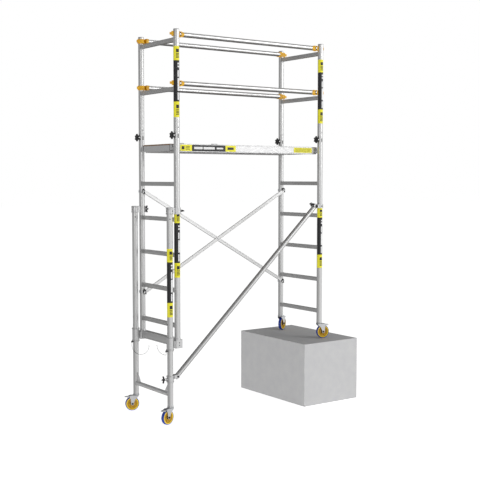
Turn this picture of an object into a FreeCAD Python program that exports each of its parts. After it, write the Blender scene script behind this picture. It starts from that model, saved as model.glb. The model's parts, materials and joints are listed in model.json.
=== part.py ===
import FreeCAD, Part
import Sketcher
import math
import os
import re

from FreeCAD import Placement, Rotation, Vector

# A narrow aluminium tower scaffold standing across a stair. X runs along the tower, from the low
# end to the landing, Y runs from the front to the back, and Z is up. The origin is at the middle
# of the tower, level with the ground under the low wheels. Sizes are in millimetres.
SIZES = {
    # Where the four uprights stand
    "left_x": -748, "right_x": 822, "side_y": 295,
    # Round tube of the uprights, posts and stair legs, and the square tube of the rungs
    "tube_radius": 25, "tube_wall": 2, "rung_width": 35, "rung_wall": 2,
    # Ladder frames
    "upright_low": 726, "upright_high": 2416, "first_rung": 831, "rung_pitch": 300, "rung_count": 6,
    # Guard frames and what joins them to the ladder frames
    "post_high": 3315, "low_crossbar": 2827, "high_crossbar": 3233,
    "spigot_radius": 22.8, "spigot_bore": 20, "spigot_reach": 100, "cap_thickness": 4,
    "slot_width": 8, "slot_height": 34, "peep_height": 87, "peep_radius": 4,
    # Screws, bosses and knobs
    "knob_height": 22, "boss_radius": 11, "boss_reach": 36, "screw_radius": 4, "screw_gap": 0.2,
    "star_reach": 35, "star_lobe": 8, "star_hub": 20, "star_low": 38, "star_high": 56,
    "wing_reach": 31, "wing_depth": 11, "wing_height": 16, "wing_hub": 10,
    "wing_screw": 13, "wing_tip": 30, "knob_gap": 0.5,
    # Guard rails and their claws
    "rail_radius": 21, "rail_inset": 30, "mid_rail": 2874, "top_rail": 3280, "rail_end": 44,
    "claw_radius": 38, "claw_half": 17, "claw_socket": 25, "claw_end": 90, "claw_slant": 40,
    "claw_bore": 25.4, "claw_back": 50,
    "beak_end": 54, "beak_half": 6,
    # Platform
    "deck_top": 2370, "board_thickness": 11, "platform_half": 255, "beam_low": 2303,
    "beam_width": 28, "beam_wall": 3, "ledge_width": 12, "hook_end": 50, "hook_wall": 7,
    "hook_low": 2316, "rung_gap": 0.3, "channel_half": 24, "channel_low": 2308,
    "channel_side": 220, "board_side": 224, "crossbeam_width": 40, "crossbeam_height": 40,
    "middle_crossbeam": 848, "right_crossbeam": 1225,
    "hatch_start": 35, "hatch_end": 485, "board_gap": 2,
    # Hatch hinges
    "first_hinge": 87, "second_hinge": 430, "hinge_half": 30, "knuckle_half": 10.7,
    "knuckle_gap": 0.3, "knuckle_radius": 4, "leaf_thickness": 2, "leaf_width": 26,
    "pin_radius": 2, "pin_gap": 0.1,
    # Cross brace at the back
    "brace_high": 1963, "brace_low": 1067, "brace_width": 31, "brace_depth": 12, "brace_wall": 2,
    "brace_tail": 16, "clip_radius": 30, "clip_bore": 25.3, "clip_height": 45, "rivet_radius": 5,
    "rivet_head": 8, "rivet_cap": 3,
    # Bottom beam, with a socket and a sleeve at each end
    "leg_offset": 73, "beam_bottom": 655, "beam_top": 720, "beam_half": 25, "socket_half": 33,
    "socket_low": 643, "socket_high": 715, "socket_collar": 27, "socket_reach": 790,
    "sleeve_radius": 31, "sleeve_bore": 25.4, "sleeve_low": 628, "sleeve_high": 744,
    "collar_radius": 35, "collar_height": 10,
    # Stair legs, which slide in the sleeves
    "leg_low": 154, "leg_high": 1830, "lock_pitch": 75, "lock_holes": 4, "lock_hole": 5.2,
    "foot_bar_height": 249, "foot_bar_radius": 19, "gusset_top": 348, "gusset_width": 62,
    "gusset_thickness": 8, "bracket_low": 1777, "bracket_top": 1834, "bracket_radius": 31,
    "jaw_radius": 33, "jaw_bore": 25.4, "jaw_mouth": 21, "web_half": 12, "leg_boss": 40,
    # Diagonal tube from the front leg to the right frame
    "diagonal_radius": 21, "low_clamp": 384, "low_clamp_half": 28, "low_boss": 58, "low_pivot": 400,
    "low_pivot_reach": 63, "high_pivot": 1819, "high_pivot_reach": 58.5, "high_clamp_half": 19,
    "high_boss": 8, "short_screw": 6, "diagonal_tail": 18,
    "diagonal_nose": 14, "lug_thickness": 5, "lug_gap": 0.4, "lug_half": 16, "bolt_radius": 5,
    "bolt_head": 9, "bolt_cap": 5, "saddle_back": 12, "saddle_thickness": 6,
    # Lock pins, each under a sleeve, with the spring wire that hangs from its head
    "lock_radius": 5, "lock_height": 622.7, "lock_reach": 40, "lock_tip": 32, "lock_head": 9,
    "lock_cap": 6, "wire_radius": 1.5, "wire_bend": 80, "wire_drop": 31, "wire_ball": 3.5,
    "wire_turn": -48,
    # Casters
    "landing": 572, "wheel_radius": 62.5, "wheel_half": 15, "caster_trail": 36, "rim_radius": 56,
    "rim_half": 14, "hub_radius": 13, "hub_half": 17, "dish_inner": 17, "dish_outer": 47,
    "dish_depth": 8, "axle_radius": 6, "axle_gap": 0.1, "fork_inner": 19, "fork_thickness": 3,
    "crown_low": 134, "crown_high": 140.5, "crown_radius": 29, "fork_foot": 14, "fork_back": 22,
    "fork_front": 68, "cup_low": 141, "cup_high": 154, "cup_radius": 27, "stem_reach": 60,
    "pedal_x": 62, "pedal_z": 126, "pedal_tip": 104, "pedal_half": 16, "pedal_thickness": 4,
    "pad_start": 71, "pad_end": 85, "pad_drop": 9, "pedal_pin": 3,
    # Which way each caster trails, counted from +X towards +Y, in degrees
    "back_leg_turn": 160, "front_leg_turn": 194, "back_right_turn": 27, "front_right_turn": -15,
}

ALONG_X = Rotation(Vector(0, 1, 0), 90)
ALONG_Y = Rotation(Vector(1, 0, 0), -90)
UPRIGHT_SIDES = {"front": -1, "back": 1}
# Where the diagonal tube's two pivots are along X
LOW_PIVOT_X = "(left_x - leg_offset + low_pivot_reach)"
HIGH_PIVOT_X = "(right_x - high_pivot_reach)"

doc = FreeCAD.newDocument("TowerScaffold")
sheet = doc.addObject("Spreadsheet::Sheet", "Sizes")
for row, (name, number) in enumerate(SIZES.items(), 1):
    sheet.set(f"A{row}", name)
    sheet.set(f"B{row}", str(number))
    sheet.setAlias(f"B{row}", name)
doc.recompute()
sub_parts = []


# ---- Helpers -------------------------------------------------------------------------------------

def size(name):
    """A number read back from the sheet."""
    return float(getattr(sheet, name))


def formula(text):
    """An expression in which each size is the sheet's own cell."""
    return re.sub(r"[a-z_]+", lambda word: "Sizes." + word[0] if word[0] in SIZES else word[0], str(text))


def shape(kind, sizes, at=(0, 0, 0), turn=None):
    """A primitive whose sizes and place are bound to the sheet."""
    made = doc.addObject(kind, "Shape")
    if turn:
        made.Placement = Placement(Vector(), turn)
    for name, text in sizes.items():
        made.setExpression(name, formula(text))
    for letter, text in zip("xyz", at):
        made.setExpression(f"Placement.Base.{letter}", formula(text))
    return made


def block(x, y, z):
    """A box between two values along each axis."""
    spans = {"Length": x, "Width": y, "Height": z}
    sizes = {name: f"({high}) - ({low})" for name, (low, high) in spans.items()}
    return shape("Part::Box", sizes, at=(x[0], y[0], z[0]))


def rod(radius, length, at=(0, 0, 0), turn=None):
    return shape("Part::Cylinder", {"Radius": radius, "Height": length}, at, turn)


def fuse(*pieces):
    made = doc.addObject("Part::MultiFuse", "Fuse")
    made.Shapes = list(pieces)
    made.Refine = True
    return made


def cut(base, *tools):
    made = doc.addObject("Part::Cut", "Cut")
    made.Base = base
    made.Tool = tools[0] if len(tools) == 1 else fuse(*tools)
    made.Refine = True
    return made


def pipe(radius, bore, length, at=(0, 0, 0), turn=None):
    return cut(rod(radius, length, at, turn), rod(bore, length, at, turn))


def group(*pieces):
    made = doc.addObject("Part::Compound", "Group")
    made.Links = list(pieces)
    return made


def place(made, at, turn=None):
    """Moves a finished piece, built about its own origin, to where it belongs."""
    made.Placement = Placement(Vector(), turn or Rotation())
    for letter, text in zip("xyz", at):
        made.setExpression(f"Placement.Base.{letter}", formula(text))
    return made


def sub_part(label, *pieces):
    """Names a finished piece, or a group of separate ones, as a sub-part of the tower."""
    made = pieces[0] if len(pieces) == 1 else group(*pieces)
    made.Label = label
    sub_parts.append(made)
    return made


def square_outline(sketch, side):
    """A square about the sketch's origin, with its side bound to the sheet."""
    first = sketch.GeometryCount
    corners = [Vector(x, y, 0) for x, y in ((-10, -10), (10, -10), (10, 10), (-10, 10))]
    for index, corner in enumerate(corners):
        sketch.addGeometry(Part.LineSegment(corner, corners[(index + 1) % 4]), False)
    for index in range(4):
        kind = "Vertical" if index % 2 else "Horizontal"
        sketch.addConstraint(Sketcher.Constraint("Coincident", first + index, 2, first + (index + 1) % 4, 1))
        sketch.addConstraint(Sketcher.Constraint(kind, first + index))
    sketch.addConstraint(Sketcher.Constraint("Symmetric", first, 1, first + 2, 1, -1, 1))
    for index in (0, 1):
        row = sketch.addConstraint(Sketcher.Constraint("Distance", first + index, 20))
        sketch.setExpression(f"Constraints[{row}]", formula(side))


def square_tubes(at, length, pitch=None, count=1):
    """Square tubes along Y, one above another, as one body with a linear pattern."""
    body = doc.addObject("PartDesign::Body", "SquareTubes")
    body.AllowCompound = True
    plane = [p for p in body.Origin.OriginFeatures if p.Role == "XZ_Plane"][0]
    upward = [p for p in body.Origin.OriginFeatures if p.Role == "Z_Axis"][0]
    sketch = body.newObject("Sketcher::SketchObject", "Section")
    sketch.AttachmentSupport = [(plane, "")]
    sketch.MapMode = "FlatFace"
    square_outline(sketch, "rung_width")
    square_outline(sketch, "rung_width - 2 * rung_wall")
    pad = body.newObject("PartDesign::Pad", "Tube")
    pad.Profile = sketch
    pad.Midplane = True
    pad.setExpression("Length", formula(length))
    if count > 1:
        doc.recompute()
        pattern = body.newObject("PartDesign::LinearPattern", "Rungs")
        pattern.Originals = [pad]
        pattern.Direction = (upward, [""])
        pattern.Occurrences = count
        pattern.setExpression("Length", formula(f"{pitch} * {count - 1}"))
        body.Tip = pattern
    return place(body, at)


# ---- Ladder frames and guard frames --------------------------------------------------------------

def ladder_frames():
    bore = "tube_radius - tube_wall"
    rung_length = "2 * (side_y - tube_radius)"
    for side in ("left", "right"):
        x = f"{side}_x"
        uprights = [
            pipe("tube_radius", bore, "upright_high - upright_low", (x, f"{way} * side_y", "upright_low"))
            for way in UPRIGHT_SIDES.values()
        ]
        sub_part(f"{side}_frame_uprights", *uprights)
    rungs = [
        square_tubes((f"{side}_x", 0, "first_rung"), rung_length, "rung_pitch", int(size("rung_count")))
        for side in ("left", "right")
    ]
    sub_part("frame_rungs", *rungs)
    crossbars = [
        square_tubes((f"{side}_x", 0, height), rung_length)
        for side in ("left", "right")
        for height in ("low_crossbar", "high_crossbar")
    ]
    sub_part("guard_crossbars", *crossbars)


def guard_post(x, y):
    """A post with a boss for its star knob, a clamp slot at its foot and a peep hole over it."""
    height = "upright_high + knob_height"
    boss_start = f"{x} - boss_reach"
    solid = fuse(
        rod("tube_radius", "post_high - upright_high", (x, y, "upright_high")),
        rod("boss_radius", "boss_reach", (boss_start, y, height), ALONG_X),
    )
    return cut(
        solid,
        rod("tube_radius - tube_wall", "post_high - upright_high", (x, y, "upright_high")),
        rod("screw_radius + screw_gap", "boss_reach", (boss_start, y, height), ALONG_X),
        rod("peep_radius", "tube_radius", (x, f"{y} - tube_radius", "upright_high + peep_height"), ALONG_Y),
        block(
            (f"{x} - slot_width / 2", f"{x} + slot_width / 2"),
            (f"{y} - tube_radius", y),
            ("upright_high", "upright_high + slot_height"),
        ),
    )


def guard_frames():
    corners = [(f"{side}_x", f"{way} * side_y") for side in ("left", "right") for way in (-1, 1)]
    sub_part("guard_posts", *[guard_post(x, y) for x, y in corners])
    spigots = [
        pipe("spigot_radius", "spigot_bore", "2 * spigot_reach", (x, y, "upright_high - spigot_reach"))
        for x, y in corners
    ]
    sub_part("frame_spigots", *spigots)
    caps = [
        fuse(
            rod("tube_radius", "cap_thickness", (x, y, "post_high")),
            rod("spigot_radius", "spigot_bore", (x, y, "post_high - spigot_bore")),
        )
        for x, y in corners
    ]
    sub_part("post_caps", *caps)


# ---- Knobs ---------------------------------------------------------------------------------------

def star_knob(label, x, y):
    """A six-lobed knob with its screw, on the left of a post. Built with its screw along Z."""
    depth = "star_high - star_low"
    pitch = "(star_reach - star_lobe)"
    lobes = [
        rod("star_lobe", depth, (f"{pitch} * cos({60 * turn})", f"{pitch} * sin({60 * turn})", "star_low"))
        for turn in range(6)
    ]
    arms = []
    for turn in range(3):
        arm = block(
            ("star_lobe - star_reach", "star_reach - star_lobe"),
            ("-0.8 * star_lobe", "0.8 * star_lobe"),
            ("star_low", "star_high"),
        )
        arms.append(place(group(arm), (0, 0, 0), Rotation(Vector(0, 0, 1), 60 * turn)))
    screw = rod("screw_radius", "star_low - tube_radius + tube_wall", (0, 0, "tube_radius - tube_wall"))
    knob = fuse(rod("star_hub", depth, (0, 0, "star_low")), screw, *lobes, *arms)
    leftward = Rotation(Vector(0, 1, 0), -90)
    sub_part(label, place(knob, (x, y, "upright_high + knob_height"), leftward))


def wing_knob(label, start, at, turn, screw_length="wing_screw"):
    """A two-winged knob with its screw along Z, whose hub begins at start on that axis."""
    ends = [
        rod("wing_depth / 2", "wing_height", (f"{way} * (wing_reach - wing_depth / 2)", 0, start))
        for way in (-1, 1)
    ]
    bar = block(
        ("wing_depth / 2 - wing_reach", "wing_reach - wing_depth / 2"),
        ("-wing_depth / 2", "wing_depth / 2"),
        (start, f"{start} + wing_height"),
    )
    hub = rod("wing_hub", "wing_height + wing_depth / 2", (0, 0, start))
    screw = rod("screw_radius", f"{screw_length} + wing_tip", (0, 0, f"{start} - {screw_length}"))
    sub_part(label, place(fuse(hub, bar, screw, *ends), at, turn))


# ---- Guard rails ---------------------------------------------------------------------------------

def claw(at, turn):
    """An open jaw round a post, with a socket for the rail, built about the post's own axis."""
    half = ("-claw_half", "claw_half")
    beak = doc.addObject("Part::Wedge", "Beak")
    for name, text in {
        "Xmin": "0", "Xmax": "2 * claw_half", "Zmin": "0", "Zmax": "rail_inset",
        "Ymin": "0", "Ymax": "beak_end - tube_radius",
        "X2min": "claw_half - beak_half", "X2max": "claw_half + beak_half",
        "Z2min": "beak_half", "Z2max": "rail_inset - beak_half",
    }.items():
        beak.setExpression(name, formula(text))
    # The wedge narrows along its own Y, which is turned to point away from the rail
    beak = place(group(beak), ("-tube_radius", "0", "-claw_half"), Rotation(Vector(1, 1, 1), -120))
    beak = place(group(beak), (0, 0, 0), Rotation())
    solid = fuse(
        rod("claw_radius", "2 * claw_half", (0, 0, "-claw_half")),
        block(("0", "rail_end"), ("rail_inset - claw_socket", "claw_back"), half),
        rod("claw_socket", "claw_end - tube_radius", ("tube_radius", "rail_inset", 0), ALONG_X),
        beak,
    )
    # The socket's end slants, so that its inner side is shorter
    slant = Rotation(Vector(0, 0, 1), size("claw_slant"))
    beyond = block(("0", "2 * claw_end"), ("-claw_end", "2 * claw_end"), ("-claw_end", "claw_end"))
    beyond = place(group(beyond), ("claw_end", "rail_inset - claw_socket", 0), slant)
    jaw = cut(
        solid,
        rod("claw_bore", "3 * claw_half", (0, 0, "-1.5 * claw_half")),
        block(("-claw_bore", "claw_bore"), ("-2 * claw_radius", "0"), ("-1.5 * claw_half", "1.5 * claw_half")),
        rod("rail_radius", "claw_end", ("rail_end", "rail_inset", 0), ALONG_X),
        beyond,
    )
    return place(jaw, at, turn)


def guard_rails():
    turns = {
        ("front", "left"): Rotation(),
        ("front", "right"): Rotation(Vector(0, 1, 0), 180),
        ("back", "left"): Rotation(Vector(1, 0, 0), 180),
        ("back", "right"): Rotation(Vector(0, 0, 1), 180),
    }
    for row, way in UPRIGHT_SIDES.items():
        for level in ("top", "mid"):
            height = f"{level}_rail"
            inner = f"{way} * (side_y - rail_inset)"
            rail = pipe(
                "rail_radius", "rail_radius - tube_wall", "right_x - left_x - 2 * rail_end",
                ("left_x + rail_end", inner, height), ALONG_X,
            )
            sub_part(f"{row}_{level}_rail", rail)
            claws = [
                claw((f"{side}_x", f"{way} * side_y", height), turns[row, side])
                for side in ("left", "right")
            ]
            sub_part(f"{row}_{level}_rail_claws", *claws)


# ---- Platform ------------------------------------------------------------------------------------

def side_beam(way):
    """A box beam along the deck's edge, with a ledge inside that carries the boards."""
    outer, inner = "platform_half", "platform_half - beam_width"
    span = ("left_x + hook_end", "right_x - hook_end")
    ledge_top = "deck_top - board_thickness"
    if way > 0:
        across = (inner, outer)
        hollow = (f"{inner} + beam_wall", f"{outer} - beam_wall")
        ledge = (f"{inner} - ledge_width", inner)
    else:
        across = (f"-{outer}", f"-({inner})")
        hollow = (f"-{outer} + beam_wall", f"-({inner}) - beam_wall")
        ledge = (f"-({inner})", f"-({inner}) + ledge_width")
    beam = cut(
        block(span, across, ("beam_low", "deck_top")),
        block(span, hollow, ("beam_low + beam_wall", "deck_top - beam_wall")),
    )
    return fuse(beam, block(span, ledge, (f"{ledge_top} - beam_wall", ledge_top)))


def corner_hook(x, way, turn):
    """The casting at a beam's end that hooks over the top rung, built for the left end."""
    across = ("platform_half - beam_width", "platform_half")
    if way < 0:
        across = ("-platform_half", "beam_width - platform_half")
    rung_top = "first_rung + 5 * rung_pitch + rung_width / 2 + rung_gap"
    mouth = "rung_width / 2 + rung_gap"
    reach = f"{mouth} + hook_wall"
    hook = cut(
        block((f"-({reach})", "hook_end"), across, ("beam_low", "deck_top - hook_wall")),
        block((f"-({mouth})", mouth), across, ("beam_low", rung_top)),
        block((f"-({reach})", "0"), across, ("beam_low", "hook_low")),
    )
    return place(hook, (x, 0, 0), turn)


def end_channel(x):
    """The channel that sits over the top rung between the two hooks."""
    side = ("-channel_side", "channel_side")
    rung_top = "first_rung + 5 * rung_pitch + rung_width / 2 + rung_gap"
    inside = "channel_half - beam_wall"
    return cut(
        block(
            (f"{x} - channel_half", f"{x} + channel_half"), side,
            ("channel_low", "deck_top - board_thickness"),
        ),
        block((f"{x} - ({inside})", f"{x} + {inside}"), side, ("channel_low", rung_top)),
    )


def platform():
    half_turn = Rotation(Vector(0, 0, 1), 180)
    sub_part("platform_side_beams", side_beam(-1), side_beam(1))
    hooks = [corner_hook("left_x", way, None) for way in (-1, 1)]
    hooks += [corner_hook("right_x", way, half_turn) for way in (-1, 1)]
    sub_part("platform_end_hooks", *hooks, end_channel("left_x"), end_channel("right_x"))

    inner = "platform_half - beam_width"
    high = "deck_top - board_thickness - beam_wall"
    centres = ["left_x + hatch_end", "left_x + middle_crossbeam", "left_x + right_crossbeam"]
    crossbeams = [
        block(
            (f"{x} - crossbeam_width / 2", f"{x} + crossbeam_width / 2"),
            (f"-({inner})", inner),
            (f"{high} - crossbeam_height", high),
        )
        for x in centres
    ]
    sub_part("platform_crossbeams", *crossbeams)

    side = ("-board_side", "board_side")
    thick = ("deck_top - board_thickness", "deck_top")
    strip = block(("left_x - channel_half", "left_x + hatch_start - board_gap"), side, thick)
    board = block(("left_x + hatch_end + board_gap", "right_x + channel_half"), side, thick)
    corner_notches = [
        block(("right_x - hook_end", "right_x + channel_half"), (low, high), thick)
        for low, high in (("-board_side", "-channel_side"), ("channel_side", "board_side"))
    ]
    sub_part("deck_boards", strip, cut(board, *corner_notches))
    sub_part("hatch_board", block(("left_x + hatch_start", "left_x + hatch_end"), side, thick))


def hatch_hinges():
    axis_y = "board_gap - board_side"
    axis_z = "deck_top + knuckle_radius"
    plates, straps = [], []
    for name in ("first_hinge", "second_hinge"):
        x = f"left_x + {name}"
        span = (f"{x} - hinge_half", f"{x} + hinge_half")
        flat = ("deck_top", "deck_top + leaf_thickness")
        barrel = rod("knuckle_radius", "2 * hinge_half", (span[0], axis_y, axis_z), ALONG_X)
        middle = ("knuckle_half + knuckle_gap", "knuckle_radius + 1")
        gap = block(
            (f"{x} - ({middle[0]})", f"{x} + {middle[0]}"),
            (f"{axis_y} - ({middle[1]})", f"{axis_y} + {middle[1]}"),
            ("deck_top", "deck_top + 3 * knuckle_radius"),
        )
        pin_hole = rod("pin_radius", "2 * hinge_half", (span[0], axis_y, axis_z), ALONG_X)
        fixed_leaf = block(span, (f"{axis_y} - leaf_width", axis_y), flat)
        plates.append(cut(fuse(fixed_leaf, barrel), gap, pin_hole))
        plates.append(rod("pin_radius", "2 * hinge_half", (span[0], axis_y, axis_z), ALONG_X))
        knuckle_start = f"{x} - knuckle_half"
        knuckle = rod("knuckle_radius", "2 * knuckle_half", (knuckle_start, axis_y, axis_z), ALONG_X)
        moving_leaf = block(span, (f"{axis_y} + knuckle_radius + 0.5", f"{axis_y} + leaf_width"), flat)
        tongue = block((knuckle_start, f"{x} + knuckle_half"), (axis_y, f"{axis_y} + 2 * knuckle_radius"), flat)
        clear_hole = rod("pin_radius + pin_gap", "2 * hinge_half", (span[0], axis_y, axis_z), ALONG_X)
        straps.append(cut(fuse(knuckle, moving_leaf, tongue), clear_hole))
    sub_part("hatch_hinge_plates", *plates)
    sub_part("hatch_hinge_straps", *straps)


# ---- Cross brace ---------------------------------------------------------------------------------

def brace_bar(way, near):
    """One bar of the cross brace, with holes at its ends and middle. near is its inner face."""
    run, rise = size("right_x") - size("left_x"), size("brace_high") - size("brace_low")
    half = "sqrt((right_x - left_x)^2 + (brace_high - brace_low)^2) / 2"
    tip = f"{half} + brace_tail"
    depth = ("-brace_depth / 2", "brace_depth / 2")
    solid = block((f"-({tip})", tip), depth, ("-brace_width / 2", "brace_width / 2"))
    hollow = block(
        (f"-({tip})", tip),
        ("brace_wall - brace_depth / 2", "brace_depth / 2 - brace_wall"),
        ("brace_wall - brace_width / 2", "brace_width / 2 - brace_wall"),
    )
    holes = [
        rod("rivet_radius", "2 * brace_depth", (x, "-brace_depth", 0), ALONG_Y)
        for x in (f"-({half})", "0", half)
    ]
    lean = Rotation(Vector(0, 1, 0), way * math.degrees(math.atan2(rise, run)))
    middle = ("(left_x + right_x) / 2", f"{near} + brace_depth / 2", "(brace_high + brace_low) / 2")
    return place(cut(solid, hollow, *holes), middle, lean)


def brace_clip(x, height, near):
    """A clip that snaps on a back upright from inside, with its rivet through the bar's end."""
    low = "-clip_height / 2"
    tall = (low, "clip_height / 2")
    face = f"{near} + brace_depth - side_y"
    clip = cut(
        fuse(
            rod("clip_radius", "clip_height", (0, 0, low)),
            block(("-brace_width / 2", "brace_width / 2"), (face, "0"), tall),
        ),
        rod("clip_bore", "clip_height", (0, 0, low)),
        block(("-0.8 * clip_bore", "0.8 * clip_bore"), ("0", "2 * clip_radius"), tall),
    )
    rivet_start = f"{near} - side_y"
    rivet = fuse(
        rod("rivet_radius", "brace_depth", (0, rivet_start, 0), ALONG_Y),
        rod("rivet_head", "rivet_cap", (0, f"{rivet_start} - rivet_cap", 0), ALONG_Y),
    )
    return place(fuse(clip, rivet), (x, "side_y", height))


def cross_brace():
    outer_bar = "side_y - clip_radius - brace_depth"
    inner_bar = "side_y - clip_radius - 2 * brace_depth"
    sub_part("cross_brace_bars", brace_bar(1, outer_bar), brace_bar(-1, inner_bar))
    clips = [
        brace_clip("left_x", "brace_high", outer_bar), brace_clip("right_x", "brace_low", outer_bar),
        brace_clip("left_x", "brace_low", inner_bar), brace_clip("right_x", "brace_high", inner_bar),
    ]
    sub_part("cross_brace_clips", *clips)
    middle = ("(left_x + right_x) / 2", inner_bar, "(brace_high + brace_low) / 2")
    bolt = fuse(
        rod("rivet_radius", "2 * brace_depth", (0, 0, 0), ALONG_Y),
        rod("rivet_head", "rivet_cap", (0, "-rivet_cap", 0), ALONG_Y),
        rod("rivet_head", "rivet_cap", (0, "2 * brace_depth", 0), ALONG_Y),
    )
    sub_part("cross_brace_bolt", place(bolt, middle))


# ---- Bottom beam, sleeves and stair legs ---------------------------------------------------------

def leg_sleeve(way):
    """A socket under one left upright, with the sleeve that its stair leg slides in."""
    leg, y = "(left_x - leg_offset)", f"{way} * side_y"
    step = "collar_height"
    solid = fuse(
        block((leg, "left_x + socket_half"), (f"{y} - socket_half", f"{y} + socket_half"),
              ("socket_low", "socket_high")),
        rod("socket_collar", "upright_low - socket_high", ("left_x", y, "socket_high")),
        rod("spigot_radius", "socket_reach - socket_high", ("left_x", y, "socket_high")),
        rod("sleeve_radius", "sleeve_high - sleeve_low", (leg, y, "sleeve_low")),
        rod("collar_radius", step, (leg, y, f"sleeve_high - {step}")),
        rod("collar_radius", step, (leg, y, "sleeve_low")),
    )
    return cut(solid, rod("sleeve_bore", "2 * sleeve_high", (leg, y, "0")))


def bottom_beam():
    end = "side_y - socket_half"
    beam = cut(
        block(("left_x - beam_half", "left_x + beam_half"), (f"-({end})", end), ("beam_bottom", "beam_top")),
        block(
            ("left_x - beam_half + beam_wall", "left_x + beam_half - beam_wall"), (f"-({end})", end),
            ("beam_bottom + beam_wall", "beam_top - beam_wall"),
        ),
    )
    sub_part("bottom_beam", beam)
    sub_part("leg_sleeves", leg_sleeve(-1), leg_sleeve(1))


def stair_leg(way):
    leg, y = "left_x - leg_offset", f"{way} * side_y"
    tube = pipe("tube_radius", "tube_radius - tube_wall", "leg_high - leg_low", (leg, y, "leg_low"))
    holes = [
        rod("lock_hole", "3 * tube_radius", (f"{leg} - 1.5 * tube_radius", y, f"lock_height + {k} * lock_pitch"),
            ALONG_X)
        for k in range(int(size("lock_holes")))
    ]
    return cut(tube, *holes)


def gusset(way):
    """A plate in the corner between a leg and the foot bar."""
    plate = doc.addObject("Part::Wedge", "Gusset")
    for name, text in {
        "Xmin": "0", "Xmax": "gusset_width", "Ymin": "0", "Ymax": "gusset_top - foot_bar_height",
        "X2min": "0", "X2max": "gusset_width / 20", "Zmin": "0", "Zmax": "gusset_thickness",
        "Z2min": "0", "Z2max": "gusset_thickness",
    }.items():
        plate.setExpression(name, formula(text))
    # The plate's X points along the tower's Y, inwards, and its Y points up
    upright = Rotation(Vector(0, -way, 0), Vector(0, 0, 1), Vector(-way, 0, 0), "ZXY")
    start = f"left_x - leg_offset + {way} * gusset_thickness / 2"
    placed = place(group(plate), (start, f"{way} * (side_y - tube_radius)", "foot_bar_height"), upright)
    bar = rod("foot_bar_radius", "2 * side_y", ("left_x - leg_offset", "-side_y", "foot_bar_height"), ALONG_Y)
    return cut(placed, bar)


def leg_top_bracket(way):
    """A cap and clamp on a leg's top, with an open jaw that runs along the upright beside it."""
    leg, y, height = "(left_x - leg_offset)", f"{way} * side_y", "bracket_top - bracket_low"
    tall = ("bracket_low", "bracket_top")
    middle = "(bracket_low + bracket_top) / 2"
    mouth = ("0", "2 * jaw_radius") if way < 0 else ("-2 * jaw_radius", "0")
    solid = fuse(
        rod("bracket_radius", height, (leg, y, "bracket_low")),
        rod("jaw_radius", height, ("left_x", y, "bracket_low")),
        block((leg, "left_x"), (f"{y} - web_half", f"{y} + web_half"), tall),
        rod("boss_radius", "leg_boss", ("left_x", y, middle), ALONG_X),
    )
    return cut(
        solid,
        rod("tube_radius", "leg_high - bracket_low", (leg, y, "bracket_low")),
        rod("jaw_bore", height, ("left_x", y, "bracket_low")),
        block(
            ("left_x - jaw_mouth", "left_x + jaw_mouth"), (f"{y} + ({mouth[0]})", f"{y} + ({mouth[1]})"), tall,
        ),
        rod("screw_radius + screw_gap", "2 * boss_reach", ("left_x", y, middle), ALONG_X),
    )


def stair_legs():
    sub_part("stair_leg_tubes", stair_leg(-1), stair_leg(1))
    bar = pipe(
        "foot_bar_radius", "foot_bar_radius - tube_wall", "2 * (side_y - tube_radius)",
        ("left_x - leg_offset", "tube_radius - side_y", "foot_bar_height"), ALONG_Y,
    )
    sub_part("foot_bar_and_gussets", bar, gusset(-1), gusset(1))
    sub_part("leg_top_brackets", leg_top_bracket(-1), leg_top_bracket(1))


# ---- Diagonal tube and its clamps ----------------------------------------------------------------

def diagonal_angle():
    low_x = size("left_x") - size("leg_offset") + size("low_pivot_reach")
    run = size("right_x") - size("high_pivot_reach") - low_x
    return math.degrees(math.atan2(size("high_pivot") - size("low_pivot"), run))


def lug_plates(x, z):
    """Two plates, one on each side of the diagonal tube."""
    near, far = "diagonal_radius + lug_gap", "diagonal_radius + lug_gap + lug_thickness"
    return [
        block(x, (f"-side_y + {near}", f"-side_y + {far}"), z),
        block(x, (f"-side_y - ({far})", f"-side_y - ({near})"), z),
    ]


def pivot_bolt(x, height):
    reach = "diagonal_radius + lug_gap + lug_thickness"
    return fuse(
        rod("bolt_radius", f"2 * ({reach})", (x, f"-side_y - ({reach})", height), ALONG_Y),
        rod("bolt_head", "bolt_cap", (x, f"-side_y - ({reach}) - bolt_cap", height), ALONG_Y),
        rod("bolt_head", "bolt_cap", (x, f"-side_y + {reach}", height), ALONG_Y),
    )


def low_clamp():
    leg, low = "(left_x - leg_offset)", "low_clamp - low_clamp_half"
    far = f"{LOW_PIVOT_X} + lug_half"
    reach = "diagonal_radius + lug_gap + lug_thickness"
    plates = lug_plates((f"{leg} + tube_radius", far), ("low_pivot - lug_half", "low_pivot + lug_half"))
    bridge = block(
        (f"{leg} + tube_radius", f"{leg} + jaw_radius"), (f"-side_y - ({reach})", f"-side_y + {reach}"),
        ("low_pivot - lug_half", "low_pivot + lug_half"),
    )
    solid = fuse(
        rod("jaw_radius", "2 * low_clamp_half", (leg, "-side_y", low)),
        rod("boss_radius", "low_boss", (f"{leg} - low_boss", "-side_y", "low_clamp"), ALONG_X),
        bridge, *plates,
    )
    return cut(
        solid,
        rod("tube_radius", "2 * low_clamp_half", (leg, "-side_y", low)),
        rod("screw_radius + screw_gap", "low_boss", (f"{leg} - low_boss", "-side_y", "low_clamp"), ALONG_X),
        rod("bolt_radius", "4 * tube_radius", (LOW_PIVOT_X, "-side_y - 2 * tube_radius", "low_pivot"), ALONG_Y),
    )


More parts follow.
